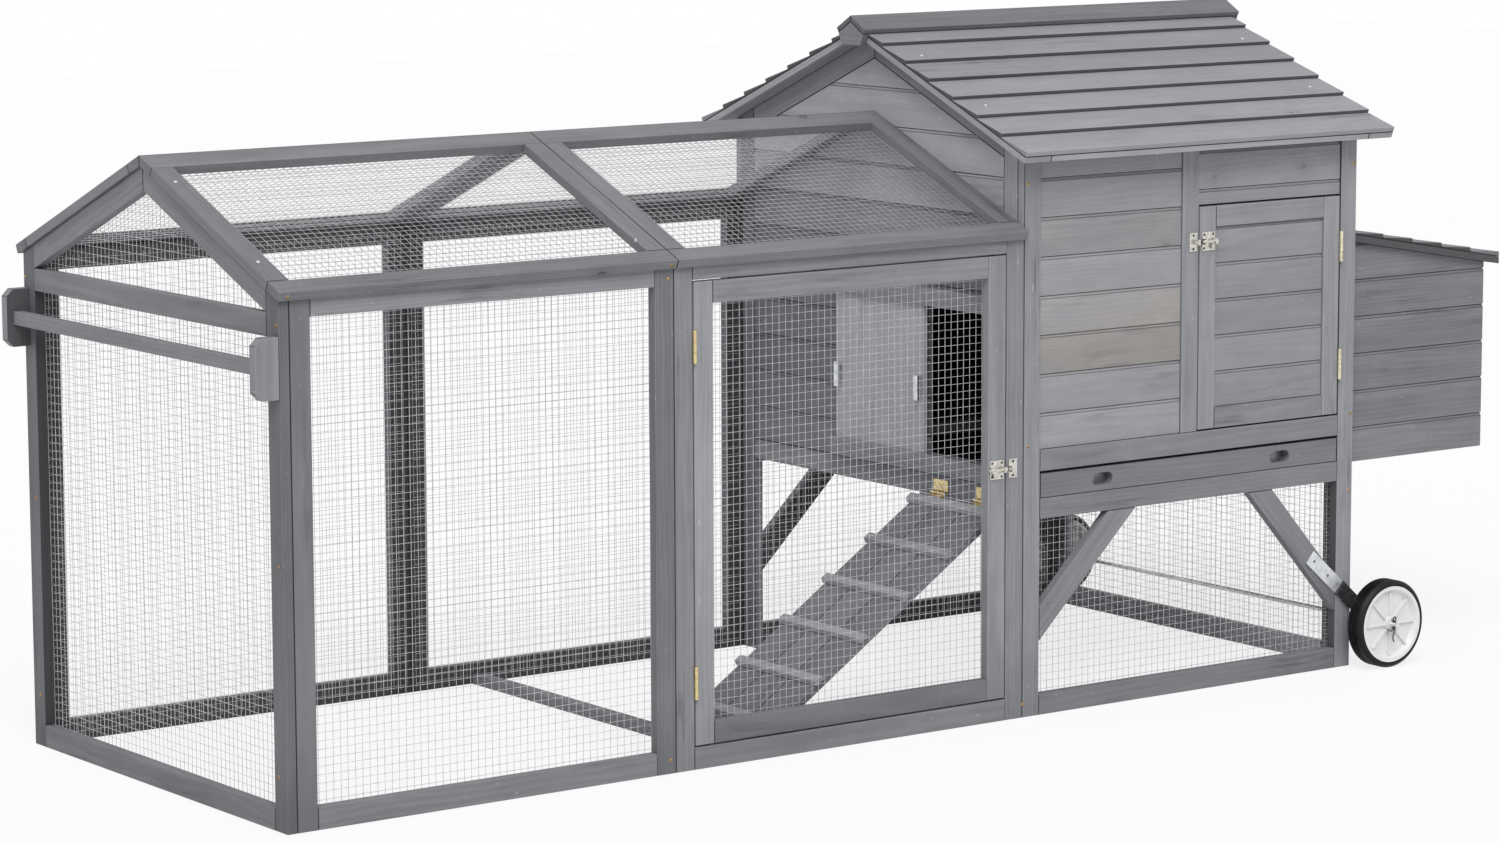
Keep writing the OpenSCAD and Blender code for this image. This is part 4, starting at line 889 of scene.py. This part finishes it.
def new_piece(name, verts, faces, finish, body, node=None):
    """A mesh piece that rides on a body, and stands for a node if one is named."""
    mesh = bpy.data.meshes.new(name)
    mesh.from_pydata([tuple(v) for v in verts], [], faces)
    mesh.materials.append(finish)
    mesh.shade_smooth()
    mesh.set_sharp_from_angle(angle=CREASE)
    piece = bpy.data.objects.new(name, mesh)
    scene.collection.objects.link(piece)
    if node:
        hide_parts(node)
    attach(piece, body)
    print(name, len(faces), "faces")


def wire_piece(name, node, body, panels):
    """All the panels of one net as one piece in place of its solid."""
    verts, faces = [], []
    rng = random.Random(name)
    for panel in panels:
        wire_panel(verts, faces, *panel[:5], rng, *panel[5:])
    new_piece(name, verts, faces, wire_finish, body, node)


print("pieces are smooth up to", round(math.degrees(CREASE)), "degrees")

# %% [markdown]
# The coarse nets still tell where each panel lies: the box of a loose solid gives its corner, its
# two directions and its size. The gable's panel is cut off under the rafters.

# %% Panels of the walls and doors
ROOF_SLOPE = math.tan(math.radians(22.5))


def loose_boxes(node):
    """Lowest and highest corner of each loose solid of a node, in order along X, Y and Z."""
    bm = bmesh.new()
    bm.from_mesh(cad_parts[node].data)
    bmesh.ops.remove_doubles(bm, verts=bm.verts, dist=WELD)
    boxes = []
    for p in members(bm):
        low = Vector([min(v.co[i] for v in p) for i in range(3)])
        high = Vector([max(v.co[i] for v in p) for i in range(3)])
        boxes.append((low, high))
    bm.free()
    return sorted(boxes, key=lambda b: tuple(round(c, 3) for c in (*b[0], *b[1])))


def standing_panels(node):
    """Upright panels of a node: those across X and those across Y."""
    panels = []
    for low, high in loose_boxes(node):
        size = high - low
        middle = (low + high) / 2
        if size.x < size.y:
            panels.append((Vector((middle.x, low.y, low.z)), Y, Z, size.y, size.z))
        else:
            panels.append((Vector((low.x, middle.y, low.z)), X, Z, size.x, size.z))
    return panels


wall_panels = standing_panels("run_wall_mesh")
end_top = max((p for p in wall_panels if p[1] == Y), key=lambda p: p[0].z)


def under_rafters(s, wide=end_top[3], tall=end_top[4]):
    """Height of the gable net at a distance from its side."""
    return tall - abs(s - wide / 2) * ROOF_SLOPE


wall_panels = [p + ((under_rafters,) if p is end_top else ()) for p in wall_panels]
wire_piece("run_wall_wire", "run_wall_mesh", "frame", wall_panels)
wire_piece("house_lower_wire", "house_lower_mesh", "frame", standing_panels("house_lower_mesh"))
wire_piece("run_door_wire", "run_door_mesh", "run_door", standing_panels("run_door_mesh"))

# %% [markdown]
# The roof's panels lie on a slope, so the height and the width of a box give its drop and its reach.
# The wires run just under the top of the coarse net.

# %% Panels of the run's roof
NET_SINK = 0.0007
roof_panels = []
for low, high in loose_boxes("run_roof_mesh"):
    drop, across = high.z - low.z, high.y - low.y
    side = 1 if high.y > FAR_SIDE else -1
    down = Vector((0, side * across, -drop)).normalized()
    start = Vector((low.x, low.y if side > 0 else high.y, high.z - NET_SINK))
    roof_panels.append((start, X, down, high.x - low.x, math.hypot(across, drop)))
wire_piece("run_roof_wire", "run_roof_mesh", "frame", roof_panels)

# %% [markdown]
# ## Screws
# The frames are pulled together with brass coloured screws and the roof is held with zinc ones.
# Each head is a shallow dome with a sunk cross, made as rings of twelve points: the outline of a
# cross has twelve corners at nearly even angles, so it joins up with round rings. A place is given
# roughly and then snapped to the timber under it.

# %% One screw head
ARM, SLIT = 0.5, 0.13
CROSS = [(ARM, -SLIT), (ARM, SLIT), (SLIT, SLIT), (SLIT, ARM), (-SLIT, ARM), (-SLIT, SLIT),
         (-ARM, SLIT), (-ARM, -SLIT), (-SLIT, -SLIT), (-SLIT, -ARM), (SLIT, -ARM), (SLIT, -SLIT)]
# radius and height of each ring for a head of radius 1; no radius means the cross itself
RINGS = [(1.0, -0.25), (1.0, 0.16), (0.82, 0.34), (0, 0.4), (0, 0.02)]


def add_screw(verts, faces, at, out, radius, turn):
    """A domed head at a point, its cross turned by an angle."""
    flat = out.orthogonal().normalized()
    upright = out.cross(flat)
    side = flat * math.cos(turn) + upright * math.sin(turn)
    up = upright * math.cos(turn) - flat * math.sin(turn)
    first, count = len(verts), len(CROSS)
    for size, height in RINGS:
        for x, y in CROSS:
            scale = size / math.hypot(x, y) if size else 1.0
            verts.append(at + (side * (x * scale) + up * (y * scale) + out * height) * radius)
    for k in range(len(RINGS) - 1):
        for i in range(count):
            n = (i + 1) % count
            a, b = first + k * count, first + (k + 1) * count
            faces.append((a + i, a + n, b + n, b + i))
    faces.append(tuple(range(len(verts) - count, len(verts))))


def screws(name, places, radius, finish, body):
    """Screw heads at places on a body, as one piece."""
    verts, faces = [], []
    rng = random.Random(name)
    for at, out in places:
        add_screw(verts, faces, at, out, radius, rng.uniform(0, math.pi))
    new_piece(name, verts, faces, finish, body)


def on_timber(rough):
    """A rough place moved onto the nearest timber face, with that face's direction."""
    return all_timber.find_nearest(rough)[:2]


print("points of a screw head:", len(RINGS) * len(CROSS))

# %% Screws of the frames and the roof
FRONT, HANDLE_END, FRAME_HEAD = -0.3965, -1.215, 0.003
frame_places = [Vector((x, y, z)) for y in (FRONT, -FRONT) for x, z in (
    (0.180, 0.8765), (0.182, 0.4475), (0.174, 0.022), (0.8965, 0.871), (0.8965, 0.441),
    (0.8965, 0.3075), (-0.529, 0.772), (-0.529, 0.022))]
frame_places += [Vector((HANDLE_END, y, z)) for y, z in (
    (-0.391, 0.752), (-0.385, 0.397), (-0.374, 0.083), (0.374, 0.401), (0.374, 0.083), (0.391, 0.752))]
frame_places += [Vector((x, side * 0.407, 0.7945)) for side in (-1, 1) for x in (-1.206, -0.530)]
frame_places = [on_timber(p) for p in frame_places]
screws("frame_screws", frame_places, FRAME_HEAD, brass_finish, "frame")
roof_places = [Vector((x, side * y, z)) for side in (-1, 1) for x, y, z in (
    (0.180, 0.288, 1.0), (0.890, 0.2935, 1.0), (0.180, 0.118, 1.07), (0.890, 0.118, 1.07),
    (-1.206, 0.0844, 0.9365), (-1.205, 0.3235, 0.8374), (-0.564, 0.3456, 0.8283))]
roof_places = [on_timber(p) for p in roof_places]
screws("roof_screws", roof_places, FRAME_HEAD, zinc_finish, "frame")

# %% [markdown]
# ## Hinges, latches and straps
# These fittings keep their solids and take metal finishes. Small dark screws hold the latch plates
# and their keepers. Each place is found by looking at the solid's front from outside and taking the
# face that is met first.

# %% Screws of the fittings
INSET, FITTING_HEAD, LOOK_FROM = 0.0042, 0.0021, -2.0


def met_from_front(node, x, z):
    """The first face of a node that is met when looking along Y, or None."""
    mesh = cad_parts[node].data
    polygons = [list(p.vertices) for p in mesh.polygons]
    shape = BVHTree.FromPolygons([v.co for v in mesh.vertices], polygons)
    at, out = shape.ray_cast(Vector((x, LOOK_FROM, z)), Y)[:2]
    return (at, out) if at else None


def corner_places(node, box):
    """Places near the four corners of a plate."""
    low, high = box
    places = [met_from_front(node, x, z) for x in (low.x + INSET, high.x - INSET)
              for z in (low.z + INSET, high.z - INSET)]
    return [p for p in places if p]


for door in ("run", "house"):
    plate = door + "_latch_plate"
    places = corner_places(plate, loose_boxes(plate)[0])
    screws(door + "_latch_screws", places, FITTING_HEAD, black_finish, door + "_door")
places = []
for low, high in loose_boxes("latch_keepers"):
    mid = (low.x + high.x) / 2
    places += [met_from_front("latch_keepers", mid, z) for z in (low.z + INSET, high.z - INSET)]
places = [p for p in places if p]
screws("keeper_screws", places, FITTING_HEAD, black_finish, "frame")

# %% [markdown]
# ## Wheels
# The tyre is a solid rubber ring with a grooved tread and the hub is one white moulding. A split
# pin holds each wheel on the axle: one length of wire doubled into an eye, its two legs bent apart.

# %% Rubber and white moulding
RUBBER, RUBBER_DUST, RUBBER_SHEEN = (0.004, 0.0042, 0.0055, 1), (0.013, 0.013, 0.015, 1), 0.22
WHITE, WHITE_HAZE = (0.76, 0.76, 0.76, 1), (0.64, 0.64, 0.64, 1)


def cloudy(tree, size, detail):
    """Soft clouds over a solid."""
    made = tree.node("TexNoise")
    tree.set(made.inputs["Vector"], tree.node("TexCoord").outputs["Object"])
    made.inputs["Scale"].default_value = size
    made.inputs["Detail"].default_value = detail
    return made.outputs["Fac"]


rubber, tree, shade = new_material("dusty_rubber")
dust = cloudy(tree, 70.0, 6.0)
tree.set(shade["Base Color"], tree.mix(tree.ramp(dust, 0.4, 0.8), RUBBER, RUBBER_DUST))
tree.set(shade["Roughness"], tree.math("MULTIPLY_ADD", dust, 0.3, 0.36))
shade["Specular IOR Level"].default_value = RUBBER_SHEEN
moulding, tree, shade = new_material("white_moulding")
haze = cloudy(tree, 40.0, 5.0)
tree.set(shade["Base Color"], tree.mix(haze, WHITE, WHITE_HAZE))
tree.set(shade["Roughness"], tree.math("MULTIPLY_ADD", haze, 0.2, 0.3))
print("wheel finishes:", rubber.name, moulding.name)

# %% Split pins
PIN_R, PIN_SIDES = 0.0011, 8
# along X and up from the middle of the pin
PIN_PATH = [(-0.0165, -0.0056), (-0.0125, -0.0088), (-0.0075, -0.0104), (-0.0032, -0.0092),
            (-0.0012, -0.0058), (-0.0012, 0.0), (-0.0012, 0.0062), (-0.0026, 0.0084),
            (-0.0032, 0.0108), (-0.002, 0.0129), (0.0, 0.0136), (0.002, 0.0129),
            (0.0032, 0.0108), (0.0026, 0.0084), (0.0012, 0.0062), (0.0012, 0.0),
            (0.0012, -0.0058), (0.0008, -0.0105), (-0.0016, -0.0155), (-0.0036, -0.0205),
            (-0.0032, -0.0255), (-0.0008, -0.0298)]


def add_tube(verts, faces, path, radius, sides, flat):
    """A round wire along a path that lies in the plane across flat."""
    first = len(verts)
    for i, at in enumerate(path):
        along = (path[min(i + 1, len(path) - 1)] - path[max(i - 1, 0)]).normalized()
        side = along.cross(flat)
        for k in range(sides):
            turn = 2 * math.pi * k / sides
            verts.append(at + (side * math.cos(turn) + flat * math.sin(turn)) * radius)
    for i in range(len(path) - 1):
        for k in range(sides):
            n, p = (k + 1) % sides, first + i * sides
            faces.append((p + k, p + n, p + sides + n, p + sides + k))
    last = first + (len(path) - 1) * sides
    faces.append(tuple(range(first + sides - 1, first - 1, -1)))
    faces.append(tuple(range(last, last + sides)))


verts, faces = [], []
for low, high in loose_boxes("axle_pins"):
    middle = (low + high) / 2
    path = [middle + X * x + Z * z for x, z in PIN_PATH]
    add_tube(verts, faces, path, PIN_R, PIN_SIDES, Y)
new_piece("split_pins", verts, faces, black_finish, "frame", "axle_pins")

# %% [markdown]
# ## Finishes of the other solids
# Hinges, latches, axle, tray and wheels already have their true shape. Each loses the plain
# material it came with and takes its finish.

# %% Finishes on the carried over solids
FINISHES = {
    mixed_finish: ["hinge_leaves_fixed"],
    hinge_finish: ["run_door_hinges", "ramp_hinges", "nest_lid_hinges"],
    pale_finish: ["house_door_hinges"],
    nickel_finish: ["latch_keepers", "run_latch_plate", "run_latch_bolt", "house_latch_plate",
                    "house_latch_bolt"],
    zinc_finish: ["wheel_straps", "axle", "axle_washers", "pop_door_grips"],
    pan_finish: ["tray_pan"],
    black_finish: ["axle_arms"],
    rubber: ["near_tyre", "far_tyre"],
    moulding: ["near_hub", "far_hub"],
}
for finish, names in FINISHES.items():
    for name in names:
        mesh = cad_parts[name].data
        mesh.materials.clear()
        mesh.materials.append(finish)
print("finished solids:", sum(len(n) for n in FINISHES.values()))
